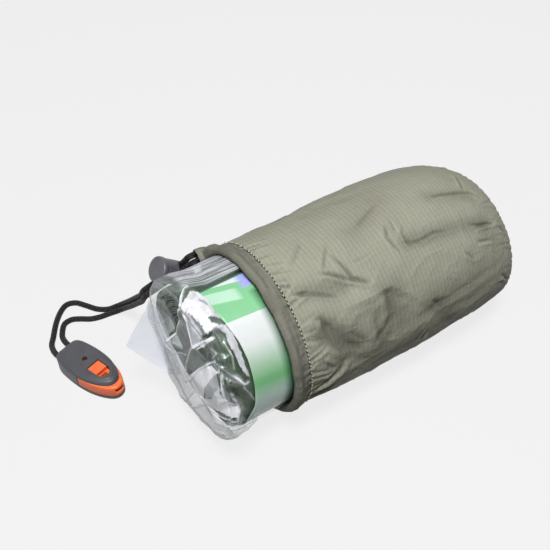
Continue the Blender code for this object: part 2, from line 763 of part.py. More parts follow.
def cut_at(outline, x_cut):
    """The part of an outline beyond a straight cut across it."""
    kept = [(x, y) for x, y in outline if x > x_cut + 0.2 * MM]
    ahead = max(x for x, y in outline if x <= x_cut + 0.2 * MM)
    y_ahead = max(y for x, y in outline if x == ahead)
    x_next, y_next = kept[0]
    share = (x_cut - ahead) / (x_next - ahead)
    y_cut = y_ahead + (y_next - y_ahead) * share
    return [(x_cut, y_cut), *kept, (x_cut, -y_cut)]


chamber_foot = WHISTLE_BOTTOM + TOUCH_GAP
chamber_head = WHISTLE_CAP_AT - TOUCH_GAP
chamber_from = WHISTLE_REAR + TOUCH_GAP
chamber = slab(
    "whistle_chamber",
    [
        (chamber_foot, cut_at(whistle_outline(0, WHISTLE_LENGTH, 0.3 * MM), chamber_from)),
        (chamber_head - 0.8 * MM, cut_at(whistle_outline(0, WHISTLE_LENGTH, 0.5 * MM), chamber_from)),
        (chamber_head, cut_at(whistle_outline(0, WHISTLE_LENGTH, 1.0 * MM), chamber_from)),
    ],
    ORANGE_PLASTIC,
)


def prism(name, section, half_wide):
    """A cutter across the whistle, from a section of (x, z) points."""
    rings = [[(x, y, z) for x, z in section] for y in (-half_wide, half_wide)]
    return as_cutter(on_whistle(loft(name, rings, None)))


# Air way: a slot from the mouthpiece, a window with its blade, and a flat chamber below the blade
WINDOW_FROM = 19.5 * MM
WINDOW_TO = 31 * MM
BLADE_X = 26.2 * MM
WINDOW_HALF_WIDE = 4.2 * MM
WINDOW_STRAIGHT = 5 * MM
AIR_Z = 5.6 * MM
AIR_HIGH = 2.4 * MM
AIR_HALF_WIDE = 2.9 * MM
CHAMBER_BACK = 15 * MM
chamber_cut = prism(
    "window_and_chamber",
    [
        (WINDOW_FROM, chamber_head + 1 * MM),
        (WINDOW_TO, chamber_head + 1 * MM),
        (WINDOW_TO, AIR_Z - 1.4 * MM),
        (CHAMBER_BACK, AIR_Z - 1.4 * MM),
        (CHAMBER_BACK, AIR_Z),
        (BLADE_X, AIR_Z),
        (BLADE_X, AIR_Z + 0.9 * MM),
    ],
    AIR_HALF_WIDE,
)
boolean(chamber, chamber_cut)
air_slot = prism(
    "air_slot",
    [
        (WINDOW_TO - 1 * MM, AIR_Z - 0.3 * MM),
        (WHISTLE_LENGTH + 2 * MM, AIR_Z - 0.3 * MM),
        (WHISTLE_LENGTH + 2 * MM, AIR_Z + AIR_HIGH),
        (WINDOW_TO - 1 * MM, AIR_Z + AIR_HIGH * 0.6),
    ],
    AIR_HALF_WIDE - 0.4 * MM,
)
boolean(chamber, air_slot)

# Top shell: a domed cap over the chamber that comes down round the cord end
CAP_TO = 38 * MM
HEEL_STEP = 0.2 * MM
cap = slab(
    "whistle_top_shell",
    [
        (WHISTLE_CAP_AT, whistle_outline(0, CAP_TO, 0)),
        (WHISTLE_CAP_AT + 1.2 * MM, whistle_outline(0, CAP_TO, 0.3 * MM)),
        (WHISTLE_HEIGHT - 0.7 * MM, whistle_outline(0, CAP_TO, 1.4 * MM)),
        (WHISTLE_HEIGHT, whistle_outline(0, CAP_TO, 3.4 * MM)),
    ],
    BLACK_PLASTIC,
)


def cut_before(outline, x_cut):
    """The part of an outline before a straight cut across it."""
    kept = [(x, y) for x, y in outline if x < x_cut - 0.2 * MM and y > 0]
    x_next, y_next = min((x, y) for x, y in outline if x >= x_cut - 0.2 * MM and y > 0)
    x_last, y_last = kept[-1]
    y_cut = y_last + (y_next - y_last) * (x_cut - x_last) / (x_next - x_last)
    half = [*kept, (x_cut, y_cut)]
    return half + [(x, -y) for x, y in reversed(half)]


heel_plan = cut_before(whistle_outline(0, CAP_TO, HEEL_STEP), WHISTLE_REAR)
heel = slab("whistle_heel", [(chamber_foot, heel_plan), (WHISTLE_CAP_AT + 0.6 * MM, heel_plan)], None)
as_cutter(heel)
boolean(cap, heel, "UNION")


def window_plan(extra):
    """A D: straight across the blade side, round towards the mouthpiece."""
    plan = [(WINDOW_FROM, WINDOW_HALF_WIDE + extra)]
    for n in range(9):
        turn = math.radians(90 - 180 * n / 8)
        reach = WINDOW_TO - WINDOW_FROM - WINDOW_STRAIGHT
        plan.append(
            (
                WINDOW_FROM + WINDOW_STRAIGHT + (reach + extra) * math.cos(turn),
                (WINDOW_HALF_WIDE + extra) * math.sin(turn),
            )
        )
    plan.append((WINDOW_FROM, -WINDOW_HALF_WIDE - extra))
    return plan


window = slab(
    "cap_window",
    [(WHISTLE_CAP_AT - 1 * MM, window_plan(0)), (WHISTLE_HEIGHT + 1 * MM, window_plan(0.4 * MM))],
    None,
)
as_cutter(window)
boolean(cap, window)
for side in (-1, 1):
    hole = tube_cutter(
        "cord_hole_%s" % ("left" if side > 0 else "right"),
        [
            Vector((-2 * MM, side * CORD_HOLES_APART / 2, CORD_HOLE_Z)),
            Vector((CORD_HOLE_DEPTH, side * CORD_HOLES_APART / 2, CORD_HOLE_Z)),
        ],
        BORE_R,
    )
    on_whistle(hole)
    boolean(cap, hole)


# The free strands, in millimetres from the mouth, the middle plane and the floor
def strand(name, side, start, falling, lying, whistle_side):
    beside = LOCK_SIDE * side * CORD_PITCH / 2
    straight_from = LOCK_AT - LOCK_RUN * STRAIGHT_BEFORE + beside
    straight_to = LOCK_AT + LOCK_RUN * STRAIGHT_AFTER + beside
    hole_turn = Matrix.Rotation(WHISTLE_TURN, 3, "Z")
    hole_y = whistle_side * CORD_HOLES_APART / 2
    reach = [WHISTLE_AT + hole_turn @ Vector((x, hole_y, CORD_HOLE_Z)) for x in HOLE_STOPS]
    chosen = [Vector((MOUTH_X + x * MM, y * MM, z * MM)) for x, y, z in falling + lying]
    out = Vector((-1, 0, 0))
    route = [start[0], *smooth_route([start[1], straight_from], CORD_D * 1.2, out, LOCK_RUN)]
    route += smooth_route([straight_to, *chosen, reach[0]], CORD_D * 2, LOCK_RUN, hole_turn @ Vector((1, 0, 0)))
    return tube(name, [*route, reach[1]], CORD_R, CORD_CLOTH)


HOLE_STOPS = (-1 * MM, CORD_HOLE_DEPTH - TOUCH_GAP)
LIE = (CORD_R + 0.05 * MM) / MM
STRAIGHT_OUT = 2 * MM
outer_start = [hem_point(exit_run - 2 * TOUCH_GAP - x, CORD_PITCH, EXIT_AT) for x in (0, STRAIGHT_OUT)]
inner_start = [hem_point(exit_run - 2 * TOUCH_GAP - x, 0, EXIT_AT) for x in (0, STRAIGHT_OUT)]
strand(
    "drawcord_strand_a",
    1,
    outer_start,
    [
        (-27.9, 69.7, 34.0),
        (-28.3, 76.2, 27.0),
        (-29.0, 83.7, 19.0),
        (-29.9, 91.0, 11.5),
        (-31.4, 96.5, 6.0),
        (-34.0, 100.0, 2.6),
    ],
    [
        (-39.2, 101.6, LIE),
        (-44.6, 105.6, LIE),
        (-48.8, 112.0, LIE),
        (-53.2, 118.0, LIE),
        (-58.8, 119.6, LIE),
        (-64.4, 115.8, LIE),
        (-70.2, 108.8, LIE),
        (-75.6, 100.0, LIE),
        (-80.0, 91.2, 3.0),
    ],
    -1,
)
strand(
    "drawcord_strand_b",
    -1,
    inner_start,
    [
        (-29.1, 66.4, 32.5),
        (-29.6, 72.8, 25.8),
        (-30.4, 80.2, 18.0),
        (-31.3, 87.5, 10.8),
        (-32.9, 93.0, 5.5),
        (-35.6, 96.3, 2.4),
    ],
    [
        (-40.2, 97.7, LIE),
        (-46.0, 98.4, LIE),
        (-51.4, 100.2, LIE),
        (-56.2, 103.6, LIE),
        (-61.0, 106.2, LIE),
        (-66.0, 105.4, LIE),
        (-69.6, 100.6, LIE),
        (-71.9, 93.8, 2.6),
    ],
    1,
)
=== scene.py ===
import math

import bmesh
import bpy
import numpy as np
from mathutils import Matrix, Vector
from mathutils.bvhtree import BVHTree
from mathutils.geometry import delaunay_2d_cdt


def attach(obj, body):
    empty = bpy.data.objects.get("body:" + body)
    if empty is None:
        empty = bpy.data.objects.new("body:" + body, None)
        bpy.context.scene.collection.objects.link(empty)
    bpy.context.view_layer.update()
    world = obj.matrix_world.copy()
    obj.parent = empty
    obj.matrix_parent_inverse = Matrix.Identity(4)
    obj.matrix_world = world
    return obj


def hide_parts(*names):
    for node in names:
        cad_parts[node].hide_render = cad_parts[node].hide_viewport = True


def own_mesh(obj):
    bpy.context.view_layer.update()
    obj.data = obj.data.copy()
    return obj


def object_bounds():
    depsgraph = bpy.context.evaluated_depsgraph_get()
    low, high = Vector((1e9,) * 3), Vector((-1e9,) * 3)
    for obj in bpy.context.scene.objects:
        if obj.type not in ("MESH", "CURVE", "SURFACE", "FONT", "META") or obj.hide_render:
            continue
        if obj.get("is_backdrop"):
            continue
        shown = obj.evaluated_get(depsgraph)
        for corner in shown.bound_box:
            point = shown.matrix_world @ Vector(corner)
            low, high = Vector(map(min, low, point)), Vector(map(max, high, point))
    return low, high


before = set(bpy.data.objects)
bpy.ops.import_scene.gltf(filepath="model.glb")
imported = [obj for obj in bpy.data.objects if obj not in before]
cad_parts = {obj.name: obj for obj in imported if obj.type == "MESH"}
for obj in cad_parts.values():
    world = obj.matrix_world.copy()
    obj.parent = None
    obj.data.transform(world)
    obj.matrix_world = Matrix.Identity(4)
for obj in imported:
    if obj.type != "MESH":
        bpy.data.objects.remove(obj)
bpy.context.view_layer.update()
bpy.ops.object.select_all(action="DESELECT")

# Camera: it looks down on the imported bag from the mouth's side, as in the photograph.
# Its place and its lens come from fitting the mouth's circle, the sack's outline and the floor.
def put_in(name, data):
    """An object of this name in the scene."""
    made = bpy.data.objects.new(name, data)
    bpy.context.scene.collection.objects.link(made)
    return made


camera = put_in("camera", bpy.data.cameras.new("camera"))
camera.data.sensor_width = 36
camera.data.lens = 57.558
camera.data.clip_start = 0.01
camera.matrix_world = Matrix(
    (
        (0.83455, 0.40064, -0.37816, -0.199909),
        (-0.55010, 0.56832, -0.61188, -0.271848),
        (-0.03023, 0.71868, 0.69469, 0.387345),
        (0, 0, 0, 1),
    )
)
bpy.context.scene.camera = camera
bpy.context.scene.view_settings.view_transform = "Standard"

# Floor and light: a pale table under one soft lamp from above and in front, with a square soft box
# to the left for the film's end. The world is a dim light, and pale as the table where the camera,
# a reflection or clear film sees it.
PALE = 0.871


def node(tree, kind, operation=None, **inputs):
    """A node of a kind, with plain values or links put into its sockets."""
    made = tree.nodes.new("ShaderNode" + kind)
    if operation:
        made.operation = operation
    for key, value in inputs.items():
        key = int(key[1:]) if key[0] == "i" and key[1:].isdigit() else key.replace("_", " ")
        if isinstance(value, bpy.types.NodeSocket):
            tree.links.new(value, made.inputs[key])
        else:
            made.inputs[key].default_value = value
    return made


def grey(level):
    return level, level, level, 1


def by_sight(tree, lit, shown):
    """One shader for the light that falls on things, and one for what is seen directly."""
    light_path = node(tree, "LightPath")
    seen = light_path.outputs["Is Camera Ray"]
    for other in ("Is Transmission Ray", "Is Glossy Ray"):
        seen = node(tree, "Math", "MAXIMUM", i0=seen, i1=light_path.outputs[other]).outputs[0]
    return node(tree, "MixShader", Fac=seen, i1=lit.outputs[0], i2=shown.outputs[0]).outputs[0]


world = bpy.data.worlds.new("pale_room")
bpy.context.scene.world = world
world.use_nodes = True
room = world.node_tree
room.nodes.clear()
lit = node(room, "Background", Color=(0.92, 0.96, 1, 1), Strength=0.03)
shown = node(room, "Background", Color=grey(PALE))
node(room, "OutputWorld", Surface=by_sight(room, lit, shown))

bpy.ops.mesh.primitive_plane_add(size=8, location=(0, 0, 0))
floor = bpy.context.object
floor.name = "floor"
table = bpy.data.materials.new("pale_table")
table.use_nodes = True
tree = table.node_tree
tree.nodes.clear()
glow = node(tree, "Emission", Color=grey(PALE - 0.07))
shade = node(tree, "BsdfDiffuse", Color=grey(0.08))
shown = node(tree, "AddShader", i0=glow.outputs[0], i1=shade.outputs[0])
lit = node(tree, "BsdfDiffuse", Color=grey(0.11))
node(tree, "OutputMaterial", Surface=by_sight(tree, lit, shown))
floor.data.materials.append(table)
floor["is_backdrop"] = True


def soft_lamp(name, place, aim, wide, high, power):
    lamp = put_in(name, bpy.data.lights.new(name, "AREA"))
    lamp.data.shape = "RECTANGLE"
    lamp.data.size = wide
    lamp.data.size_y = high
    lamp.data.energy = power
    lamp.location = place
    lamp.rotation_euler = (Vector(aim) - Vector(place)).to_track_quat("-Z", "Y").to_euler()


soft_lamp("overhead", (-0.24, -0.38, 1.2), (0.0, 0.0, 0.04), 0.34, 0.3, 17.9)
soft_lamp("left_box", (-1.0, -0.08, 0.38), (-0.06, 0.0, 0.05), 0.4, 0.4, 1.4)
soft_lamp("back_strip", (0.25, 1.0, 0.85), (0.0, 0.0, 0.05), 0.9, 0.14, 0.25)


# Drawcord: a braided black polyester cord, 3.4 mm thick. It goes once round the mouth in the hem,
# and its two ends leave the exit side by side, run through the cord lock, lie on the table in a
# loose curve and are moulded into the end of the whistle.
MM = 0.001
TURN = 2 * math.pi
CORD_R = 1.7 * MM
CORD_PITCH = 3.8 * MM
AXIS_Z = 48.3 * MM
MOUTH_X = -51 * MM
HEM_HALF = 2.55 * MM
HEM_CORD_X = MOUTH_X + HEM_HALF
HEM_RING_R = 45.35 * MM
EXIT_AT = math.radians(31)
EXIT_RUN = MOUTH_X - 4 * MM + 0.3 * MM - HEM_CORD_X
LOCK_AT = Vector((MOUTH_X - 14.2 * MM, 48.9 * MM, AXIS_Z + 12.4 * MM))
LOCK_AXIS = Vector((0.8, -0.02, -0.6)).normalized()
LOCK_RUN = Vector((-0.51, 0.495, -0.70))
LOCK_RUN = (LOCK_RUN - LOCK_RUN.project(LOCK_AXIS)).normalized()
LOCK_SIDE = LOCK_AXIS.cross(LOCK_RUN)
WHISTLE_AT = Vector((MOUTH_X - 75.3 * MM, 79.5 * MM, 0))
WHISTLE_TURN = Matrix.Rotation(math.radians(-72), 3, "Z")
CORD_HOLE_Y, CORD_HOLE_Z = 4.6, 5.9


def round_point(x, r, angle):
    """A point at radius r about the pack's axis. Angle 0 is the back, a quarter turn is the top."""
    return Vector((x, r * math.cos(angle), AXIS_Z + r * math.sin(angle)))


def hem_point(x_off, r_off, angle):
    return round_point(HEM_CORD_X + x_off, HEM_RING_R + r_off, angle)


def smooth_route(points, leave=None, arrive=None):
    """A fine smooth curve through the points, which may leave and arrive along given directions."""
    points = [Vector(p) for p in points]
    ends = [2 * points[0] - points[1], *points, 2 * points[-1] - points[-2]]
    if leave:
        ends[0] = points[1] - leave * (points[1] - points[0]).length * 2
    if arrive:
        ends[-1] = points[-2] + arrive * (points[-1] - points[-2]).length * 2
    fine = []
    for i in range(1, len(ends) - 2):
        p0, p1, p2, p3 = ends[i - 1 : i + 3]
        for n in range(24):
            t = n / 24
            bend = (2 * p0 - 5 * p1 + 4 * p2 - p3) * t**2 + (3 * p1 - p0 - 3 * p2 + p3) * t**3
            fine.append(0.5 * (2 * p1 + (p2 - p0) * t + bend))
    return [*fine, points[-1]]


def run_along(line):
    """The distance along a line at each of its points."""
    return np.concatenate([[0], np.cumsum(np.linalg.norm(np.diff(line, axis=0), axis=1))])


def even_steps(points, step):
    """The same line read at equal steps, and its length."""
    line = np.array([tuple(p) for p in points])
    run = run_along(line)
    stops = np.linspace(0, run[-1], max(2, round(run[-1] / step)) + 1)
    return np.stack([np.interp(stops, run, line[:, k]) for k in range(3)], 1), run[-1]


def skin(name, rows, across, along, closed_round=True, closed_along=False, caps=False):
    """A mesh over rows of points, with a UV map that holds the distances across and along it."""
    steps, count = rows.shape[:2]
    verts = rows.reshape(-1, 3)
    i = np.arange(steps if closed_along else steps - 1)
    j = np.arange(count if closed_round else count - 1)
    i, j = np.meshgrid(i, j, indexing="ij")
    i2, j2 = (i + 1) % steps, (j + 1) % count
    quads = np.stack([i * count + j, i * count + j2, i2 * count + j2, i2 * count + j], -1).reshape(-1, 4)
    corners = [(i, j), (i, j + 1), (i + 1, j + 1), (i + 1, j)]
    uv = np.stack([np.stack([across[a, b], along[a, b]], -1) for a, b in corners], 2).reshape(-1, 2)
    faces, verts = quads.tolist(), verts.tolist()
    if caps:
        for row, order in ((0, -1), (steps - 1, 1)):
            verts.append(rows[row].mean(0).tolist())
            ring = [row * count + k for k in range(count)][::order]
            faces += [(ring[k], ring[(k + 1) % count], len(verts) - 1) for k in range(count)]
            uv = np.concatenate([uv, np.zeros((3 * count, 2))])
    mesh = bpy.data.meshes.new(name)
    mesh.from_pydata(verts, [], faces)
    layer = mesh.uv_layers.new(name="cloth")
    layer.data.foreach_set("uv", uv.astype(np.float32).ravel())
    mesh.shade_smooth()
    return put_in(name, mesh)


def round_tube(name, line, radius, sides):
    """A closed tube along a line, its rings turned as little as possible from one to the next."""
    ahead = np.gradient(line, axis=0)
    ahead /= np.linalg.norm(ahead, axis=1)[:, None]
    side = np.cross(ahead[0], (0.3, 0.2, 1))
    rows = []
    for point, way in zip(line, ahead):
        side = side - way * (side @ way)
        side /= np.linalg.norm(side)
        up = np.cross(way, side)
        angle = np.arange(sides) * TURN / sides
        rows.append(point + radius * (np.cos(angle)[:, None] * side + np.sin(angle)[:, None] * up))
    return skin(name, np.array(rows), *np.meshgrid(np.arange(sides + 1) / sides, run_along(line)), caps=True)


def new_material(name, **values):
    made = bpy.data.materials.new(name)
    made.use_nodes = True
    shader = made.node_tree.nodes["Principled BSDF"]
    for socket, value in values.items():
        shader.inputs[socket.replace("_", " ")].default_value = value
    return made, made.node_tree, shader


def math_node(tree, operation, first, second=0.0, third=0.0, clamp=False):
    made = node(tree, "Math", operation, i0=first, i1=second, i2=third)
    made.use_clamp = clamp
    return made.outputs[0]


def noise(tree, scale, detail=2.0, place=None, **more):
    """A noise texture's value over the piece's own shape, or over a given place."""
    if place is None:
        place = node(tree, "TexCoord").outputs["Object"]
    return node(tree, "TexNoise", Vector=place, Scale=scale, Detail=detail, **more).outputs["Fac"]


def mix_colour(tree, share, first, second):
    made = tree.nodes.new("ShaderNodeMix")
    made.data_type = "RGBA"
    for key, value in (("Factor", share), ("A", first), ("B", second)):
        kind = "VALUE" if key == "Factor" else "RGBA"
        socket = next(s for s in made.inputs if s.name == key and s.type == kind)
        if isinstance(value, bpy.types.NodeSocket):
            tree.links.new(value, socket)
        else:
            socket.default_value = value if key == "Factor" else (*value, 1)
    return next(s for s in made.outputs if s.type == "RGBA")


def group(name, ins, outs):
    """An empty node group with named inputs and outputs."""
    made = bpy.data.node_groups.new(name, "ShaderNodeTree")
    for key, value in ins.items():
        made.interface.new_socket(key, in_out="INPUT", socket_type="NodeSocketFloat").default_value = value
    for key, kind in outs.items():
        made.interface.new_socket(key, in_out="OUTPUT", socket_type="NodeSocket" + kind)
    return made, made.nodes.new("NodeGroupInput"), made.nodes.new("NodeGroupOutput")


def placed(tree, made, **values):
    spot = tree.nodes.new("ShaderNodeGroup")
    spot.node_tree = made
    for key, value in values.items():
        spot.inputs[key.replace("_", " ")].default_value = value
    return spot


def bump(tree, shader, height, distance, strength=1.0, under=None):
    made = node(tree, "Bump", Height=height, Distance=distance, Strength=strength)
    if under:
        tree.links.new(under, made.inputs["Normal"])
    tree.links.new(made.outputs[0], shader.inputs["Normal"])
    return made.outputs[0]


# The braid: yarns that run round the cord both ways and pass over and under each other
braid, given, result = group("braid", {"Yarns": 8.0, "Plait": 0.0034}, {"Height": "Float"})
uv = node(braid, "UVMap")
split = node(braid, "SeparateXYZ", Vector=uv.outputs[0])
around = math_node(braid, "MULTIPLY", split.outputs["X"], given.outputs["Yarns"])
forward = math_node(braid, "DIVIDE", split.outputs["Y"], given.outputs["Plait"])
one_way = math_node(braid, "ADD", around, forward)
other_way = math_node(braid, "SUBTRACT", around, forward)
lattice = node(braid, "CombineXYZ", X=one_way, Y=other_way, Z=0.5)
over = node(braid, "TexChecker", Vector=lattice.outputs[0], Scale=1.0)
ridges = []
for way in (one_way, other_way):
    wave = math_node(braid, "SINE", math_node(braid, "MULTIPLY", way, math.pi))
    ridges.append(math_node(braid, "ABSOLUTE", wave))
first = math_node(braid, "MULTIPLY", ridges[0], over.outputs["Fac"])
second = math_node(braid, "MULTIPLY", ridges[1], math_node(braid, "SUBTRACT", 1.0, over.outputs["Fac"]))
braid.links.new(math_node(braid, "ADD", first, second), result.inputs["Height"])

black_braid, tree, shader = new_material(
    "black_braid", Roughness=0.6, Specular_IOR_Level=0.3, Sheen_Weight=0.03, Sheen_Roughness=0.4
)
laid = placed(tree, braid)
worn = math_node(tree, "MULTIPLY", laid.outputs["Height"], noise(tree, 9000.0))
tree.links.new(mix_colour(tree, worn, (0.001, 0.001, 0.0014), (0.019, 0.019, 0.022)), shader.inputs["Base Color"])
bump(tree, shader, laid.outputs["Height"], 0.00042)


def free_strand(name, side, r_off, falling, lying, whistle_side):
    """One end of the drawcord, from the hem's exit through the lock and over the table to the whistle."""
    beside = LOCK_SIDE * side * CORD_PITCH / 2
    start = [hem_point(EXIT_RUN - (0.6 + x) * MM, r_off, EXIT_AT) for x in (0, 2)]
    straight = [LOCK_AT - LOCK_RUN * 7.2 * MM + beside, LOCK_AT + LOCK_RUN * 26 * MM + beside]
    hole = whistle_side * CORD_HOLE_Y * MM, CORD_HOLE_Z * MM
    reach = [WHISTLE_AT + WHISTLE_TURN @ Vector((x * MM, *hole)) for x in (-1, 7.7)]
    chosen = [Vector((MOUTH_X + x * MM, y * MM, z * MM)) for x, y, z in falling + lying]
    route = [start[0], *smooth_route([start[1], straight[0]], Vector((-1, 0, 0)), LOCK_RUN)]
    route += smooth_route([straight[1], *chosen, reach[0]], LOCK_RUN, WHISTLE_TURN @ Vector((1, 0, 0)))
    line, length = even_steps([*route, reach[1]], 0.75 * MM)
    made = round_tube(name, line, CORD_R, 24)
    made.data.materials.append(black_braid)
    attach(made, "sack")
    return made, line, length, start[0]


LIE = 1.75
strand_a = free_strand(
    "outer_strand",
    1,
    CORD_PITCH,
    [(-27.9, 69.7, 34), (-28.3, 76.2, 27), (-29, 83.7, 19), (-29.9, 91, 11.5), (-31.4, 96.5, 6), (-34, 100, 2.6)],
    [(-39.2, 101.6, LIE), (-44.6, 105.6, LIE), (-48.8, 112, LIE), (-53.2, 118, LIE), (-58.8, 119.6, LIE)]
    + [(-64.4, 115.8, LIE), (-70.2, 108.8, LIE), (-75.6, 100, LIE), (-80, 91.2, 3.0)],
    -1,
)
strand_b = free_strand(
    "inner_strand",
    -1,
    0,
    [(-29.1, 66.4, 32.5), (-29.6, 72.8, 25.8), (-30.4, 80.2, 18), (-31.3, 87.5, 10.8), (-32.9, 93, 5.5)]
    + [(-35.6, 96.3, 2.4)],
    [(-40.2, 97.7, LIE), (-46, 98.4, LIE), (-51.4, 100.2, LIE), (-56.2, 103.6, LIE), (-61, 106.2, LIE)]
    + [(-66, 105.4, LIE), (-69.6, 100.6, LIE), (-71.9, 93.8, 2.6)],
    1,
)
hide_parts("drawcord_strand_a")
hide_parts("drawcord_strand_b")

BEND = math.radians(11)
ring_from, ring_to = EXIT_AT + BEND * 1.3, EXIT_AT + TURN - BEND * 1.3
stops = [
    hem_point(EXIT_RUN, CORD_PITCH, EXIT_AT),
    hem_point(EXIT_RUN * 0.65, CORD_PITCH, EXIT_AT),
    hem_point(EXIT_RUN * 0.25, CORD_PITCH * 0.7, EXIT_AT + BEND * 0.35),
    *[hem_point(0, 0, ring_from + (ring_to - ring_from) * n / 18) for n in range(19)],
    hem_point(EXIT_RUN * 0.25, 0, EXIT_AT - BEND * 0.35),
    hem_point(EXIT_RUN * 0.65, 0, EXIT_AT),
    hem_point(EXIT_RUN, 0, EXIT_AT),
]
in_hem = round_tube("hem_cord", even_steps(smooth_route(stops), 1.5 * MM)[0], CORD_R, 20)
in_hem.data.materials.append(black_braid)
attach(in_hem, "sack")
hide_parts("drawcord_in_hem")


# Cord lock: a moulded black barrel with a round end disc, a plunger with its button, and the coil
# spring between them. The cords pass through a slot in both, and the spring grips them.
grain, given, result = group("moulded_grain", {"Size": 900.0}, {"Tone": "Float", "Height": "Float"})
fine = noise(grain, given.outputs["Size"], 3.0, Roughness=0.6)
tone = math_node(grain, "ADD", math_node(grain, "MULTIPLY", fine, 0.35), noise(grain, 140.0))
grain.links.new(math_node(grain, "SUBTRACT", tone, 0.17), result.inputs["Tone"])
grain.links.new(fine, result.inputs["Height"])


def moulded(name, dark, light, rough, size, depth):
    """Moulded plastic: a fine spark grain in the surface and slight changes of tone."""
    made, tree, shader = new_material(name, Roughness=rough)
    laid = placed(tree, grain, Size=size)
    tree.links.new(mix_colour(tree, laid.outputs["Tone"], dark, light), shader.inputs["Base Color"])
    worn = math_node(tree, "MULTIPLY_ADD", laid.outputs["Tone"], 0.25, rough - 0.12)
    tree.links.new(worn, shader.inputs["Roughness"])
    bump(tree, shader, laid.outputs["Height"], depth)
    return made


lock_black = moulded("lock_black", (0.064, 0.064, 0.074), (0.125, 0.125, 0.14), 0.38, 2600.0, 0.00002)
steel, tree, shader = new_material("spring_steel", Base_Color=(0.55, 0.55, 0.56, 1), Metallic=1.0, Roughness=0.28)
bump(tree, shader, noise(tree, 5000.0, 1.0), 0.00001)
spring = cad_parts["lock_spring"]
spring.data.materials.clear()
spring.data.materials.append(steel)
# The button's stroke of 3 mm squeezes the spring against the closed end of the barrel
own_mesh(spring)


def start_edit():
    bpy.ops.object.mode_set(mode="EDIT")
    bpy.ops.mesh.select_all(action="SELECT")


def end_edit():
    """All faces are turned outwards, and editing ends."""
    bpy.ops.mesh.select_all(action="SELECT")
    bpy.ops.mesh.normals_make_consistent(inside=False)
    bpy.ops.object.mode_set(mode="OBJECT")


def disc(name, sides, radius, **where):
    """A flat disc with so many sides, the start of a drawn-up shape."""
    bpy.ops.mesh.primitive_circle_add(vertices=sides, radius=radius * MM, fill_type="NGON", **where)
    made = bpy.context.object
    made.name = made.data.name = name
    bpy.ops.object.transform_apply(location=True, rotation=True)
    return made


def draw_up(z, z_next, sizes, middle_x=0.0):
    """The selected face is drawn up to the next height and made wider or narrower there."""
    bpy.ops.mesh.extrude_region_move(TRANSFORM_OT_translate={"value": (0, 0, (z_next - z) * MM)})
    bpy.ops.transform.resize(value=(*sizes, 1), center_override=(middle_x, 0, z_next * MM))


def turned(name, profile, sides=72):
    """A disc drawn up ring by ring, as on a lathe, through (radius, height) in millimetres."""
    r, z = profile[0]
    made = disc(name, sides, r, location=(0, 0, z * MM))
    start_edit()
    for r_next, z_next in profile[1:]:
        draw_up(z, z_next, (r_next / r, r_next / r))
        r, z = r_next, z_next
    end_edit()
    return made


def rounded_bar(name, half_wide, half_high, length, middle):
    """A bar along Y with a long round-ended section, the shape of a cord slot."""
    made = disc(name, 40, half_high, rotation=(math.pi / 2, 0, 0))
    for side in (-1, 1):
        bpy.ops.object.mode_set(mode="EDIT")
        bpy.ops.mesh.select_all(action="DESELECT")
        bpy.ops.object.mode_set(mode="OBJECT")
        for v in made.data.vertices:
            v.select = v.co.x * side > 0.0001 * MM
        bpy.ops.object.mode_set(mode="EDIT")
        bpy.ops.transform.translate(value=(side * (half_wide - half_high) * MM, 0, 0))
        bpy.ops.object.mode_set(mode="OBJECT")
    start_edit()
    bpy.ops.transform.translate(value=(0, -length / 2 * MM, middle * MM))
    bpy.ops.mesh.extrude_region_move(TRANSFORM_OT_translate={"value": (0, length * MM, 0)})
    end_edit()
    return made


def reshaped(piece, kind, **settings):
    """A modifier is put on the piece, set and applied."""
    bpy.ops.object.select_all(action="DESELECT")
    bpy.context.view_layer.objects.active = piece
    change = piece.modifiers.new("change", kind)
    for key, value in settings.items():
        setattr(change, key, value)
    bpy.ops.object.modifier_apply(modifier="change")


def cut(piece, tool, operation="DIFFERENCE"):
    """The tool is cut from the piece, or joined to it, and then removed."""
    reshaped(piece, "BOOLEAN", operation=operation, solver="EXACT", object=tool)
    bpy.data.objects.remove(tool)


def finished(piece, place, finish):
    """The piece set in its place, with its faces shaded smooth up to its edges."""
    bpy.ops.object.select_all(action="DESELECT")
    piece.select_set(True)
    bpy.context.view_layer.objects.active = piece
    start_edit()
    bpy.ops.mesh.quads_convert_to_tris(ngon_method="BEAUTY")
    bpy.ops.object.mode_set(mode="OBJECT")
    piece.matrix_world = place
    bpy.ops.object.transform_apply(location=True, rotation=True)
    # A left-handed place such as the lock's turns the piece inside out, so its faces are turned once more
    start_edit()
    end_edit()
    bpy.ops.object.shade_smooth_by_angle(angle=math.radians(32))
    piece.data.materials.clear()
    piece.data.materials.append(finish)


on_lock = Matrix.Translation(LOCK_AT) @ Matrix((LOCK_SIDE, LOCK_RUN, LOCK_AXIS)).transposed().to_4x4()
SLOT_HALF = 3.9
barrel = turned(
    "lock_body",
    [(5.7, -12.3), (6.0, -12.32), (6.25, -12.5), (6.7, -12.42), (7.05, -12.1), (7.2, -11.6), (7.2, -10.3)]
    + [(7.05, -9.8), (6.75, -9.45), (6.7, -8.0), (6.6, -1.0), (6.1, 5.0), (5.95, 5.7), (5.6, 6.1), (5.15, 6.1)]
    + [(5.1, 5.8), (5.1, -10.1)],
)
cut(barrel, rounded_bar("slot", SLOT_HALF, 2.05, 30, 0))
finished(barrel, on_lock, lock_black)
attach(barrel, "cord_lock")
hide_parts("lock_barrel")
button = turned(
    "lock_button_plunger",
    [(4.6, -3.3), (4.95, -3.0), (4.95, 8.9), (4.8, 9.6), (4.4, 10.2), (3.7, 10.6), (3.2, 10.65), (2.9, 10.5)]
    + [(1.5, 10.35)],
)
cut(button, rounded_bar("slot", SLOT_HALF, 3.5, 30, 1.5))
finished(button, on_lock, lock_black)
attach(button, "lock_button")
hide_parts("lock_plunger")


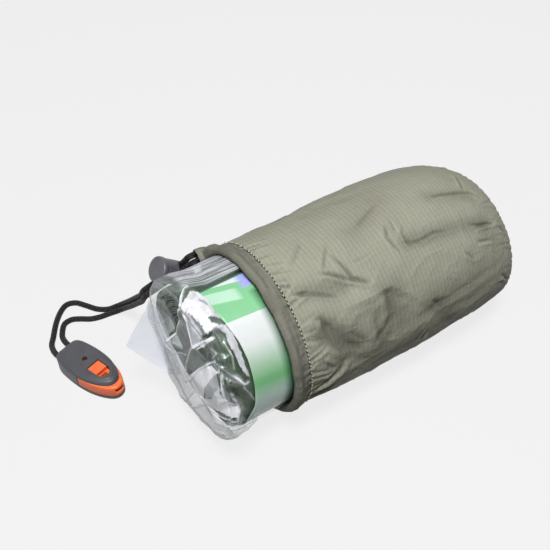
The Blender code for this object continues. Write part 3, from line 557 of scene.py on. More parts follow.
# Whistle: a flat signal whistle of three mouldings. An orange chamber with the air slot and the
# window lies between a black bottom shell and a black top shell, whose heel holds the cord ends.
shell_black = moulded("shell_black", (0.04, 0.041, 0.047), (0.078, 0.079, 0.088), 0.46, 2200.0, 0.00003)
shell_orange = moulded("shell_orange", (0.80, 0.13, 0.035), (0.95, 0.2, 0.065), 0.38, 2200.0, 0.00002)
WHISTLE_LONG, WHISTLE_HALF = 44.9, 10.6
WHISTLE_PLAN = [(0, 0), (0, 3.6), (0.15, 5.6), (1.2, 7.7), (4.2, 9.2), (8.5, 10.0), (15, 10.55), (22, WHISTLE_HALF)]
WHISTLE_PLAN += [(29, 9.9), (35, 8.4), (39.4, 6.6), (42.4, 4.8), (44.2, 2.8), (WHISTLE_LONG, 0)]
LANYARD_X = 17.2
on_whistle = Matrix.Translation(WHISTLE_AT) @ WHISTLE_TURN.to_4x4()


def whistle_layers(name, long, layers):
    """The whistle's plan drawn up through (inset, height) in millimetres, to a length of its own."""
    half = smooth_route([(x, y, 0) for x, y in WHISTLE_PLAN], Vector((0, 1, 0)), Vector((0, -1, 0)))
    half = even_steps(half, 0.7)[0]
    plan = np.concatenate([half, half[-2:0:-1] * (1, -1, 1)]) * (long / WHISTLE_LONG, 1, 1)
    inset, z = layers[0]
    made = disc(name, len(plan), 10)
    for v, (x, y, _) in zip(made.data.vertices, plan):
        v.co = (x * MM, y * MM, z * MM)
    wide, middle = long / 2, long / 2 * MM
    start_edit()
    sizes = (wide - inset) / wide, (WHISTLE_HALF - inset) / WHISTLE_HALF
    bpy.ops.transform.resize(value=(*sizes, 1), center_override=(middle, 0, z * MM))
    for inset_next, z_next in layers[1:]:
        sizes = (wide - inset_next) / (wide - inset), (WHISTLE_HALF - inset_next) / (WHISTLE_HALF - inset)
        draw_up(z, z_next, sizes, middle)
        inset, z = inset_next, z_next
    end_edit()
    return made


def trimmed(piece, x, keep_ahead):
    """The piece cut square across at x, and only one end of it kept."""
    start_edit()
    sides = {"clear_inner": keep_ahead, "clear_outer": not keep_ahead}
    bpy.ops.mesh.bisect(plane_co=(x * MM, 0, 0), plane_no=(1, 0, 0), use_fill=True, **sides)
    end_edit()
    return piece


def bar(name, x, y, z, sides=4, radius=None):
    """A cutting bar between low and high values of x, y and z, or a round one along Z or X."""
    middle = [(a + b) / 2 * MM for a, b in (x, y, z)]
    if sides == 4:
        bpy.ops.mesh.primitive_cube_add(size=1, location=middle, scale=[(b - a) * MM for a, b in (x, y, z)])
    else:
        lies = x[1] - x[0] > z[1] - z[0]
        long = (x[1] - x[0] if lies else z[1] - z[0]) * MM
        turn = (0, math.pi / 2 if lies else 0, 0)
        size = {"vertices": sides, "radius": radius * MM, "depth": long}
        bpy.ops.mesh.primitive_cylinder_add(**size, location=middle, rotation=turn)
    bpy.ops.object.transform_apply(location=True, rotation=True, scale=True)
    bpy.context.object.name = name
    return bpy.context.object


def window_tool(x_from, x_to, half_wide, z_from, z_to):
    """A D-shaped cutter: straight on the cord's side and round towards the mouthpiece."""
    made = bar("window", (x_from, x_to - half_wide), (-half_wide, half_wide), (z_from, z_to))
    end = bar("window_end", (0, 0), (0, 0), (z_from, z_to), 40, half_wide)
    end.location.x = (x_to - half_wide) * MM
    bpy.ops.object.transform_apply(location=True)
    cut(made, end, "UNION")
    return made


bottom_layers = [(1.4, 0.05), (0.9, 0.15), (0.4, 0.5), (0.1, 1.0), (0, 1.6), (0, 2.5)]
bottom = whistle_layers("whistle_base", WHISTLE_LONG, bottom_layers)
finished(bottom, on_whistle, shell_black)
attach(bottom, "sack")
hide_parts("whistle_bottom_shell")

chamber_layers = [(0.35, 2.62), (0.15, 3.0), (0.2, 8.6), (0.4, 9.2), (0.9, 9.62), (1.3, 9.72)]
chamber = trimmed(whistle_layers("whistle_body", WHISTLE_LONG, chamber_layers), 21.2, True)
core = trimmed(whistle_layers("core", WHISTLE_LONG, [(1.5, 2.62), (1.5, 9.6)]), 10.7, True)
cut(chamber, trimmed(core, 24, False), "UNION")
cut(chamber, bar("block", (23.7, 30.6), (-3.95, 3.95), (9.2, 12.35)), "UNION")
cut(chamber, bar("under_blade", (15, 35.6), (-3.2, 3.2), (4.2, 6.4)))
cut(chamber, window_tool(31.2, 35.6, 2.1, 5.0, 11.0))
cut(chamber, bar("air_slot", (33, 47), (-2.9, 2.9), (4.9, 8.2)))
cut(chamber, bar("lanyard_hole", (LANYARD_X, LANYARD_X), (0, 0), (8.6, 10.4), 24, 1.35))
finished(chamber, on_whistle, shell_orange)
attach(chamber, "sack")
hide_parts("whistle_chamber")

cap_layers = [(0, 9.78), (0.05, 10.3), (0.25, 11.0), (0.7, 11.75), (1.35, 12.25), (2.1, 12.5), (2.75, 12.6)]
cap_layers += [(3.0, 12.72), (3.35, 13.0)]
cap = whistle_layers("whistle_cap", 41.6, cap_layers)
cut(cap, trimmed(whistle_layers("heel", WHISTLE_LONG, [(0.05, 2.62), (0, 2.9), (0, 9.9)]), 21.0, False), "UNION")
cut(cap, trimmed(whistle_layers("pocket", WHISTLE_LONG, [(1.4, 2.4), (1.4, 9.76)]), 10.5, True))
cut(cap, window_tool(23.4, 35.8, 4.25, 9.0, 14.0))
cut(cap, bar("lanyard_hole", (LANYARD_X, LANYARD_X), (0, 0), (9.0, 14.0), 32, 1.6))
for side in (-1, 1):
    hole_y = side * CORD_HOLE_Y
    cut(cap, bar("cord_hole", (-3, 8), (hole_y, hole_y), (CORD_HOLE_Z, CORD_HOLE_Z), 32, 1.9))
finished(cap, on_whistle, shell_black)
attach(cap, "sack")
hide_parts("whistle_top_shell")


# Stuff sack: a tube of thin grey-olive ripstop nylon, sewn up along the back. It is gathered into
# the hem at the neck and into the round base, and it hangs loosely on the pack, so it creases.
SACK_FROM = MOUTH_X + 9.8 * MM
BELLY_X = MOUTH_X + 58 * MM
BASE_X = 99.9 * MM
NECK_R, BELLY_R, TAIL_R, SINK = 46.2 * MM, 48.2 * MM, 40.2 * MM, 1.2 * MM
CLOTH_LONG, CLOTH_R = 0.1465, 0.047
DEGREE_MM = 0.82  # a degree round the sack, in mm of cloth
BASE_SEAM = 151.2  # mm from the mouth


def soft_noise(u, v, count_u, count_v, seed):
    """Smooth noise from -1 to 1 that repeats after count_u and count_v cells."""
    table = np.random.default_rng(seed).uniform(-1, 1, (count_u, count_v))
    u, v = u * count_u, v * count_v
    i, j = np.floor(u).astype(int), np.floor(v).astype(int)
    s, t = u - i, v - j
    s, t = s * s * (3 - 2 * s), t * t * (3 - 2 * t)
    i0, i1, j0, j1 = i % count_u, (i + 1) % count_u, j % count_v, (j + 1) % count_v
    low = table[i0, j0] * (1 - s) + table[i1, j0] * s
    return low * (1 - t) + (table[i0, j1] * (1 - s) + table[i1, j1] * s) * t


# The main folds of the loose cloth, as the part's solid has them: depth (negative stands out) and
# width in millimetres, and both ends in (mm from the mouth, degrees round the sack).
SACK_FOLDS = (
    (1.7, 5.0, (20, 124), (40, 131)), (1.9, 5.5, (24, 150), (34, 172)), (-1.3, 6.0, (38, 143), (64, 141)),
    (1.4, 5.5, (54, 158), (54, 184)), (1.7, 5.0, (84, 124), (136, 133)), (1.3, 5.0, (112, 101), (136, 110)),
    (1.0, 8.0, (84, 88), (62, 100)), (1.3, 6.0, (88, 172), (100, 194)), (1.5, 6.0, (40, 48), (74, 34)),
    (1.5, 6.0, (92, 22), (128, 38)), (1.4, 6.0, (44, 228), (70, 244)), (1.3, 6.0, (112, 214), (134, 236)),
)
# Sharp creases as (depth, width) and their course. One side of a crease is steeper than the other.
CREASES = [
    (0.7, 0.9, [(44, 102), (38, 110), (33, 118)]),
    (1.0, 1.2, [(42, 108), (44, 118), (46, 128), (55, 136)]),
    (1.3, 1.1, [(30, 116), (36, 120), (42, 126), (54, 136)]),
    (1.2, 1.0, [(12, 121), (18, 123), (26, 128), (36, 135)]),
    (0.5, 0.9, [(49, 120), (62, 120)]),
    (0.9, 1.0, [(78, 106), (74, 115), (75, 122), (77, 128)]),
    (0.6, 0.9, [(86, 112), (83, 117), (84, 124), (87, 130)]),
    (0.9, 0.9, [(80, 122), (90, 126), (100, 125), (110, 128)]),
    (0.7, 0.9, [(122, 129), (132, 133), (141, 134)]),
    (1.2, 1.0, [(111, 101), (121, 104), (138, 107), (142, 113)]),
    (1.4, 0.9, [(141, 84), (136, 98), (134, 104)]),
    (0.5, 2.2, [(84, 89), (71, 95), (60, 101)]),
    (0.8, 1.0, [(112, 144), (118, 153)]),
    (1.0, 1.6, [(16, 139), (22, 142), (25, 158), (30, 173)]),
    (-0.5, 1.6, [(35, 142), (52, 142), (64, 142), (74, 154), (82, 166)]),
    (0.7, 1.0, [(78, 196), (80, 186)]),
    (-0.8, 1.2, [(18, 167), (24, 178)]),
    (0.4, 2.4, [(50, 152), (50, 166), (54, 184)]),
    (0.7, 0.9, [(142, 66), (148, 65)]),
    (1.0, 0.9, [(144, 138), (150, 144)]),
    (1.0, 1.0, [(125, 133), (142, 134)]),
    (1.0, 1.0, [(122, 142), (136, 145)]),
    (0.9, 1.1, [(138, 174), (148, 186)]),
    (0.6, 1.2, [(86, 164), (93, 177)]),
    (0.5, 2.2, [(34, 157), (46, 173)]),
    (0.45, 2.4, [(46, 176), (60, 162)]),
    (0.6, 1.8, [(60, 142), (60, 158), (56, 170)]),
    (0.7, 1.0, [(82, 199), (84, 188)]),
    (0.6, 1.0, [(80, 115), (82, 103)]),
    (0.6, 1.3, [(35, 91), (20, 106)]),
    (1.3, 1.7, [(9, 194), (17, 191), (26, 184), (31, 176)]),
    (0.9, 1.4, [(9, 203), (19, 201), (28, 196)]),
]
# Soft wide valleys where the loose cloth hangs in, as (depth, width) and their course
VALLEYS = (
    (1.8, 6.0, [(13, 146), (20, 156), (32, 166), (46, 172)]),
    (1.9, 7.0, [(55, 136), (61, 146), (63, 160), (57, 178)]),
    (0.9, 6.5, [(62, 172), (90, 170), (118, 166), (142, 160)]),
    (0.9, 5.0, [(126, 136), (138, 146), (146, 160)]),
    (0.7, 6.0, [(22, 190), (60, 196), (110, 192)]),
    (0.6, 7.0, [(100, 78), (70, 70), (30, 64)]),
    (1.1, 7.5, [(18, 176), (34, 178), (50, 190)]),
    (0.8, 7.0, [(88, 178), (112, 180), (136, 172)]),
)
dice = np.random.default_rng(7)
for n in range(34):
    at_x, at_a = dice.uniform(22, 138), dice.uniform(-122, 30)
    way, long = dice.uniform(0, TURN), dice.uniform(10, 34)
    bend = dice.uniform(-0.5, 0.5)
    course = [(at_x, at_a)]
    for k in range(3):
        at_x, at_a = at_x + long / 3 * math.cos(way), at_a + long / 3 * math.sin(way) * 1.2
        way += bend
        course.append((at_x, at_a))
    CREASES.append((dice.uniform(0.5, 1.3) * (1 if n % 4 else -0.7), dice.uniform(0.8, 1.8), course))


def gathers(low, high, power, least, longest, slant, closest, furthest):
    """Gathers start at a seam and fade out along the cloth: their angles, depths, lengths and slants."""
    made, at = [], 0.0
    while at < 356:
        depth = dice.uniform(low, high) ** power + least
        made.append((at, depth, dice.uniform(4, longest), dice.uniform(-slant, slant)))
        at += dice.uniform(closest, furthest)
    return made


GATHERS = gathers(0.15, 1.0, 1.5, 0.1, 15, 7, 2.6, 7.0)
BASE_GATHERS = gathers(0.1, 0.9, 1.4, 0.0, 18, 6, 3.0, 8.0)


def apart(angles, angle):
    """Degrees from one angle to others, between -180 and 180."""
    return (angles - angle + 180) % 360 - 180


def crease_depth(x, angle, depth, width, course, fade_start=True):
    """How far a crease draws the cloth in, in metres, at points given as x and angle arrays."""
    px, pa = (x - MOUTH_X) / MM, np.degrees(angle)
    near, along, side = np.full(px.shape, 1e9), np.zeros(px.shape), np.ones(px.shape)
    runs = [(a, b[0] - a[0], (b[1] - a[1]) * DEGREE_MM) for a, b in zip(course, course[1:])]
    total, done = sum(math.hypot(dx, da) for _, dx, da in runs), 0.0
    for a, dx, da in runs:
        long = max(math.hypot(dx, da), 1e-6)
        qx, qa = px - a[0], apart(pa, a[1]) * DEGREE_MM
        t = np.clip((qx * dx + qa * da) / long**2, 0, 1)
        off = np.hypot(qx - t * dx, qa - t * da)
        closer = off < near
        near = np.where(closer, off, near)
        side = np.where(closer, np.clip((qx * da - qa * dx) / long / width, -1, 1), side)
        along = np.where(closer, (done + t * long) / total, along)
        done += long
    tail = np.clip((1 - along) / 0.35, 0, 1)
    head = np.clip(along / 0.25, 0, 1) if fade_start else 1.0
    valley = np.exp(-((near / (width * (1 + 0.55 * side))) ** 1.15))
    lips = 0.4 * np.exp(-(((near - 1.9 * width) / (0.95 * width)) ** 2)) * (1 - 0.5 * side)
    return depth * MM * (valley - lips) * np.minimum(tail, head) ** 0.7


def fold_depth(x, angle):
    """How far the main folds draw the cloth in, fading out at both seams."""
    px, pa = (x - MOUTH_X) / MM, np.degrees(angle)
    round_mm = BELLY_R / MM * math.radians(1)
    total = np.zeros(px.shape)
    for depth, width, start, end in SACK_FOLDS:
        dx, da = end[0] - start[0], (end[1] - start[1]) * round_mm
        qx, qa = px - start[0], apart(pa, start[1]) * round_mm
        t = np.clip((qx * dx + qa * da) / (dx * dx + da * da), 0, 1)
        total += depth * np.exp(-(((qx - t * dx) ** 2 + (qa - t * da) ** 2) / width**2))
    fade = np.clip((x - SACK_FROM) / (11 * MM), 0, 1)
    return total * np.minimum(fade, np.clip((BASE_X - 6 * MM - x) / (11 * MM), 0, 1)) * MM


def sack_size(x):
    """The sack's radius and the height of its middle along its length."""
    share = np.clip(np.sin((x - SACK_FROM) / (BELLY_X - SACK_FROM) * math.pi / 2), 0, 1)
    neck_r = NECK_R + (BELLY_R - NECK_R) * share
    neck_z = AXIS_Z + (BELLY_R - SINK - AXIS_Z) * share
    far = np.clip((x - BELLY_X) / (BASE_X - BELLY_X), 0, 1)
    far_r = BELLY_R - (BELLY_R - TAIL_R) * far**4.8
    return np.where(x < BELLY_X, neck_r, far_r), np.where(x < BELLY_X, neck_z, far_r - SINK)


def sharp_creases(x, angle):
    drawn = np.zeros(x.shape)
    for depth, width, course in CREASES:
        drawn += crease_depth(x, angle, depth, width, course)
    for at, depth, long, slant in GATHERS:
        depth *= 0.5 if 172 < at < 222 else 1
        drawn += crease_depth(x, angle, depth, 0.95, [(9, at), (9 + long, at + slant)], False)
    for at, depth, long, slant in BASE_GATHERS:
        course = [(BASE_SEAM, at), (BASE_SEAM - long, at + slant)]
        drawn += crease_depth(x, angle, depth * 0.6, 0.9, course, False)
    return drawn


def valley_depth(x, angle):
    drawn = np.zeros(x.shape)
    for depth, width, course in VALLEYS:
        drawn += np.clip(crease_depth(x, angle, depth, width, course), 0, None)
    return drawn * np.clip((BASE_X - 5 * MM - x) / (9 * MM), 0, 1)


def sack_wall(x, angle, inset=0.0):
    """Points of the sack's creased wall, so far inside its outer face."""
    radius, middle = sack_size(x)
    u, v = (angle / TURN) % 1, (x - SACK_FROM) / CLOTH_LONG
    drawn = fold_depth(x, angle) + sharp_creases(x, angle) + valley_depth(x, angle)
    # Where folds cross, the cloth stops at the film of the pack inside
    easy, limit = 2.7 * MM, 0.8 * MM
    drawn = np.where(drawn > easy, easy + limit * np.tanh((drawn - easy) / limit), drawn)
    warp = 0.03 * soft_noise(u, v, 7, 5, 3)
    slack = 0.55 * soft_noise(u + warp, v, 9, 6, 11) + 0.4 * soft_noise(u, v + warp, 17, 11, 12)
    ridged = 1 - np.abs(soft_noise(u + 1.6 * warp, v + warp, 14, 9, 13))
    fine = 1 - np.abs(soft_noise(u + warp, v - warp, 37, 24, 14))
    ends = np.clip((x - SACK_FROM) / 0.012, 0, 1) * np.clip((BASE_X - x) / 0.012, 0, 1)
    loose = (slack * 0.45 + (ridged**5 - 0.2) * 0.35 + (fine**6 - 0.12) * 0.2) * MM * (0.25 + 0.75 * ends)
    r = radius - inset - drawn + loose
    z = middle + r * np.sin(angle)
    lying = 0.12 * MM + inset
    z = np.where(z < lying + 2 * MM, lying + 2 * MM * np.exp((z - lying) / (2 * MM) - 1), z)
    return np.stack([x + 0 * r, r * np.cos(angle), z], -1)


def sack_grid(count_round, count_long, inset):
    """Rings of points of the wall, closer together on the side that the loose cloth creases most."""
    even = np.arange(count_round) / count_round * TURN
    angles = even + 0.24 * np.sin(even - math.radians(310))
    xs = SACK_FROM + (BASE_X - SACK_FROM) * np.linspace(0, 1, count_long) ** 0.95
    return angles, xs, sack_wall(*np.meshgrid(xs, angles, indexing="ij"), inset)


def cloth_map(angles, xs):
    """The flat cloth's measures across and along, for a grid that closes round the sack."""
    return np.meshgrid(np.append(angles, angles[0] + TURN) * CLOTH_R, xs)


def painted(made, name, values):
    """A value from 0 to 1 at each point of the piece, which its material reads by name."""
    layer = made.data.attributes.new(name, "FLOAT", "POINT")
    layer.data.foreach_set("value", np.ravel(values).astype(np.float32))


def mended(made, is_hole=None):
    """The piece's open edges are filled where asked, and all its faces are turned outwards."""
    work = bmesh.new()
    work.from_mesh(made.data)
    if is_hole:
        rim = [e for e in work.edges if e.is_boundary and is_hole(e.verts[0].co)]
        bmesh.ops.holes_fill(work, edges=rim, sides=0)
    bmesh.ops.recalc_face_normals(work, faces=work.faces)
    work.to_mesh(made.data)
    work.free()


# The outer face is fine enough for sharp creases, and the inner face has half as many points each way
SACK_ROUND, SACK_LONG = 384, 208
angles, xs, outer = sack_grid(SACK_ROUND, SACK_LONG, 0.0)
half_angles, half_xs, inner = sack_grid(SACK_ROUND // 2, SACK_LONG // 2 - 6, 0.45 * MM)
across, along = cloth_map(angles, xs)
sack = skin("sack_cloth", outer[:, ::-1], across[:, ::-1], along)
lining = skin("sack_inside", inner, *cloth_map(half_angles, half_xs))
work = bmesh.new()
work.from_mesh(sack.data)
work.from_mesh(lining.data)
work.verts.ensure_lookup_table()
first_inner = SACK_ROUND * SACK_LONG
for row, inner_row, order in ((0, 0, 1), (SACK_LONG - 1, len(half_xs) - 1, -1)):
    for k in range(SACK_ROUND // 2):
        out = [work.verts[row * SACK_ROUND + (SACK_ROUND - 1 - (2 * k + j)) % SACK_ROUND] for j in (0, 1, 2)]
        ring = first_inner + inner_row * (SACK_ROUND // 2)
        into = [work.verts[ring + (k + j) % (SACK_ROUND // 2)] for j in (0, 1)]
        for face in ((out[0], out[1], into[0]), (out[1], into[1], into[0]), (out[1], out[2], into[1])):
            work.faces.new(face[::order])
bmesh.ops.recalc_face_normals(work, faces=work.faces)
work.to_mesh(sack.data)
work.free()
sack.data.shade_smooth()
bpy.data.objects.remove(lining)
# Painted shade: the sack's colour is made darker along its sharp creases and in its valleys and folds, where shade
# falls
where = np.meshgrid(xs, angles, indexing="ij")
creased = sharp_creases(*where)[:, ::-1]
hollow_shade = (valley_depth(*where) + 0.8 * np.clip(fold_depth(*where), 0, None))[:, ::-1]
hollow_shade = np.clip(hollow_shade / MM, 0, 2.0) * 0.47
crease_shade = np.zeros(len(sack.data.vertices))
crease_shade[:first_inner] = np.clip(np.maximum((creased / MM - 0.12) / 0.8, 0) + hollow_shade, 0, 1).ravel()
painted(sack, "crease_shade", crease_shade)

# The weave: a fine plain weave with thicker pale yarns round the sack and fainter ones along it
weave, given, result = group("ripstop_weave", {"Pitch": 0.00245, "Wide": 0.1}, {"Yarn": "Float", "Height": "Float"})
uv = node(weave, "UVMap")
drift = noise(weave, 90.0, 1.0, uv.outputs[0])
shift = math_node(weave, "MULTIPLY", math_node(weave, "SUBTRACT", drift, 0.5), 0.0016)
split = node(weave, "SeparateXYZ", Vector=uv.outputs[0])
yarns = []
for axis, share in (("Y", 1.0), ("X", 0.3)):
    place = math_node(weave, "ADD", split.outputs[axis], shift)
    cycle = math_node(weave, "FRACT", math_node(weave, "DIVIDE", place, given.outputs["Pitch"]))
    off = math_node(weave, "ABSOLUTE", math_node(weave, "SUBTRACT", cycle, 0.5))
    yarn = math_node(weave, "SUBTRACT", 1.0, math_node(weave, "DIVIDE", off, given.outputs["Wide"]), clamp=True)
    yarns.append(math_node(weave, "MULTIPLY", yarn, share))
yarn = math_node(weave, "MAXIMUM", yarns[0], yarns[1])
threads = []
for axis in "XY":
    cycle = math_node(weave, "MULTIPLY", split.outputs[axis], TURN / 0.00035)
    threads.append(math_node(weave, "SINE", cycle))
cloth = math_node(weave, "MULTIPLY", threads[0], threads[1])
weave.links.new(yarn, result.inputs["Yarn"])
height = math_node(weave, "MULTIPLY_ADD", yarn, 0.7, math_node(weave, "MULTIPLY", cloth, 0.12))
weave.links.new(height, result.inputs["Height"])


def painted_value(tree, name):
    made = node(tree, "Attribute")
    made.attribute_name = name
    return made.outputs["Fac"]


def ripstop(name, ground, yarn_colour, rough):
    made, tree, shader = new_material(name, Roughness=rough, Specular_IOR_Level=0.03)
    laid = placed(tree, weave)
    soil = noise(tree, 45.0, 4.0, Roughness=0.6)
    toned = mix_colour(tree, soil, tuple(c * 0.86 for c in ground), tuple(c * 1.12 for c in ground))
    woven = mix_colour(tree, laid.outputs["Yarn"], toned, yarn_colour)
    # Painted shade: the colour turns towards near-black where the painted creases and hollows are
    dark = math_node(tree, "MULTIPLY", math_node(tree, "POWER", painted_value(tree, "crease_shade"), 1.3), 0.5)
    tree.links.new(mix_colour(tree, dark, woven, (0.035, 0.035, 0.028)), shader.inputs["Base Color"])
    tree.links.new(math_node(tree, "MULTIPLY_ADD", soil, 0.2, rough - 0.1), shader.inputs["Roughness"])
    rumple = noise(tree, 120.0, 4.0, Roughness=0.6, Distortion=0.8)
    ridges = math_node(tree, "ABSOLUTE", math_node(tree, "SUBTRACT", rumple, 0.5))
    low = bump(tree, shader, math_node(tree, "POWER", ridges, 0.6), 0.0016, 0.35)
    bump(tree, shader, laid.outputs["Height"], 0.00012, 0.8, low)
    return made


sack_cloth = ripstop("ripstop", (0.308, 0.306, 0.245), (0.425, 0.418, 0.325), 0.5)
# Painted shade: the hem, the seam allowances and the cord's sleeve are the sack's own cloth, coloured darker
hem_cloth = ripstop("shaded_hem_ripstop", (0.2, 0.196, 0.162), (0.262, 0.256, 0.212), 0.55)
sack.data.materials.append(sack_cloth)
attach(sack, "sack")
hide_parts("sack_tube")

# Base: a round panel of the same cloth, sewn in with its edge turned inside, where the seam puckers it
BASE_ROUND, BASE_STEPS = 240, 46
angles = np.arange(BASE_ROUND) * TURN / BASE_ROUND
shares = np.linspace(1, 0.02, BASE_STEPS)
edge = sack_wall(np.full(BASE_ROUND, BASE_X), angles)
middle_z = TAIL_R - SINK
rows = []
for share in shares:
    ring = edge * share
    ring[:, 2] = middle_z + (edge[:, 2] - middle_z) * share
    pucker = np.zeros(BASE_ROUND)
    for at, depth, long, slant in BASE_GATHERS:
        off = apart(np.degrees(angles), at) * 0.7
        pucker += depth * np.exp(-((off / 1.2) ** 2)) * math.exp(-(1 - share) * 40 / 7)
    swell = soft_noise(angles / TURN, np.full(BASE_ROUND, share * 0.9), 6, 5, 21) * (1 - share**3) * 0.5
    seam = 1.1 * math.exp(-(((1 - share) * 40 - 1.6) / 0.9) ** 2)
    ring[:, 0] = BASE_X + 0.3 * MM + 4.2 * MM * (1 - share**2) ** 0.8 + (swell - pucker * 0.6 - seam * 0.6) * MM
    rows.append(ring)
flat_x, flat_y = (turn(np.append(angles, angles[0])) * shares[:, None] * 0.04 for turn in (np.cos, np.sin))
base = skin("base_cloth", np.array(rows), flat_x, flat_y)
mended(base, lambda at: at.x > BASE_X + 3 * MM)
base.data.shade_smooth()
reshaped(base, "SOLIDIFY", thickness=0.35 * MM, offset=-1)
base.data.materials.append(sack_cloth)
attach(base, "sack")
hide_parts("sack_base_panel")

# Seam allowances inside the sack: the turned-in cloth at the base, and the side seam's along the back
for name, x_from, x_to, a_from, a_to in (
    ("base_seam_cloth", BASE_X - 6 * MM, BASE_X - 0.3 * MM, 0, 360),
    ("side_seam_cloth", SACK_FROM + 0.5 * MM, BASE_X - 6.6 * MM, -31.6, -24.4),
):
    whole = a_to - a_from == 360
    count = 180 if whole else 9
    angles = np.radians(np.linspace(a_from, a_to, count, endpoint=not whole))
    xs = np.linspace(x_from, x_to, 10 if whole else 110)
    near, far = (sack_wall(*np.meshgrid(xs, angles, indexing="ij"), inset * MM) for inset in (0.75, 1.35))
    flat = np.meshgrid(np.linspace(a_from, a_to, count + whole) * DEGREE_MM * MM, [*xs, *xs[::-1], xs[0]])
    strip = skin(name, np.concatenate([near, far[::-1]]), *flat, closed_round=whole, closed_along=True)
    mended(strip, None if whole else lambda at: True)
    strip.data.materials.append(hem_cloth)
    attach(strip, "sack")
    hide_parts(name.replace("cloth", "allowance"))


# Hem: the mouth's edge is folded back over the drawcord and stitched 9.5 mm from the rim. The cord
# gathers it, and a sleeve of it is drawn out at the back, where the two cord ends leave.
HEM_ROUND = 540
SECTION = 30
angles = np.arange(HEM_ROUND) * TURN / HEM_ROUND
gather = np.zeros(HEM_ROUND)
for at, depth, long, slant in GATHERS:
    off = np.abs(apart(np.degrees(angles), at) * DEGREE_MM)
    gather += depth * (np.exp(-((off / 0.95) ** 1.4)) - 0.34 * np.exp(-(((off - 2.2) / 1.1) ** 2)))
ripple = soft_noise(angles / TURN, 0 * angles, 150, 3, 31)
ripple2 = soft_noise(angles / TURN, 0 * angles + 0.4, 96, 3, 32)
edge_wave = soft_noise(angles / TURN, 0 * angles + 0.2, 34, 3, 33)
# Its section, from the rim over the cord to the fold's end inside and back to the rim outside: x, the
# radius, and how far from the rim to the stitches
START_X, SEWN_R = HEM_CORD_X + HEM_HALF * 0.15, 47.88
profile = []
for n in range(SECTION):
    t = n / SECTION
    if t < 0.4:
        turn = math.radians(82 + 196 * t / 0.4)
        profile.append((HEM_CORD_X + HEM_HALF * math.cos(turn), HEM_RING_R + HEM_HALF * math.sin(turn), 0.0))
    elif t < 0.7:
        s = (t - 0.4) / 0.3
        profile.append((START_X + (SACK_FROM - HEM_CORD_X) * s, HEM_RING_R - HEM_HALF + 0.55 * MM * s, s))
    elif t < 0.74:
        profile.append((SACK_FROM + 0.15 * MM, 44.4 * MM, 1.0))
    else:
        s = 1 - (t - 0.74) / 0.26
        dip = 0.9 * MM * math.sin(s * math.pi) ** 0.8
        r = SEWN_R * MM - (SEWN_R - 46.0) * MM * s - dip * 0.5
        profile.append((START_X + (SACK_FROM - START_X) * s, r, s))
rows, hem_crease_shade = [], []
for k, angle in enumerate(angles):
    ring = []
    for x, r, s in profile:
        inside = r < 44.0 * MM
        where, down = angle / TURN + 0.012 * s, np.array(0.05 + s * 0.9)
        folds = soft_noise(np.array(where % 1), down, 30, 4, 34)
        folds -= 0.8 * abs(soft_noise(np.array((where + 0.02 * s) % 1), down, 46, 5, 35)) - 0.3
        wave = -gather[k] * s**2 * 0.9 + ripple[k] * (0.06 + 0.16 * s) + 0.72 * float(folds) * (1 - 0.55 * s)
        wave = max(wave, -0.45 - s)
        # Painted shade: the hem's colour darkens where its gathers and folds sink in
        hem_crease_shade.append(min(1.0, max(0.0, -1.3 * wave - 0.05)))
        if inside:
            wave = abs(wave) * 0.5
        swell = max(0.0, 1 - abs(math.degrees(angle - EXIT_AT)) / 24) ** 1.5 * (1 - s)
        above = 1.9 * MM * swell if r > HEM_RING_R - 0.5 * MM else 0.0
        x += (ripple2[k] * 0.14 + edge_wave[k] * 0.45) * MM * (1 - s) - 1.6 * MM * swell
        spot = round_point(x, r + wave * MM * (1 - swell) + above, angle)
        ring.append((spot.x, spot.y, max(spot.z, 0.02 * MM)))
    rows.append(ring)
flat = np.meshgrid(np.linspace(0, 0.026, SECTION + 1), np.arange(HEM_ROUND + 1) / HEM_ROUND * TURN * CLOTH_R)
hem = skin("hem_cloth", np.array(rows), *flat[::-1], closed_along=True)
mended(hem)
painted(hem, "crease_shade", hem_crease_shade)
hem.data.materials.append(hem_cloth)
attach(hem, "sack")

# The sleeve's rings: mm from the cord in the hem, half their width as times half the hem's thickness, and
# their inner and outer radius about the pack's axis in mm
stations = (
    (1.5, 4.2, 43.0, 47.7), (0.2, 3.6, 42.95, 48.6), (-0.8, 3.0, 42.9, 50.1), (-1.9, 2.2, 42.87, 51.0),
    (-3.0, 1.7, 42.85, 51.3), (-4.6, 1.3, 42.82, 51.6), (-6.45, 1.16, 42.8, 51.7), (-6.6, 1.05, 43.1, 51.4),
    (-6.1, 0.98, 43.4, 51.1), (-4.0, 0.9, 43.4, 51.1),
)
rows = []
for x, spread, low, high in stations:
    ring = []
    for n in range(40):
        turn = TURN * n / 40
        fold = 1 + 0.035 * math.sin(9 * turn + x)
        r = (low + high) / 2 + (high - low) / 2 * math.sin(turn) * fold
        angle = EXIT_AT + HEM_HALF / HEM_RING_R * spread * math.cos(turn) * fold
        ring.append(tuple(round_point(HEM_CORD_X + x * MM, r * MM, angle)))
    rows.append(ring)
flat = np.meshgrid(np.arange(41) / 40 * 0.02, np.arange(len(stations)) * 0.0012)
sleeve = skin("hem_exit", np.array(rows), *flat, caps=True)
mended(sleeve)
reshaped(sleeve, "SUBSURF", levels=2, render_levels=2)
sleeve.data.materials.append(hem_cloth)
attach(sleeve, "sack")
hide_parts("hem_channel")

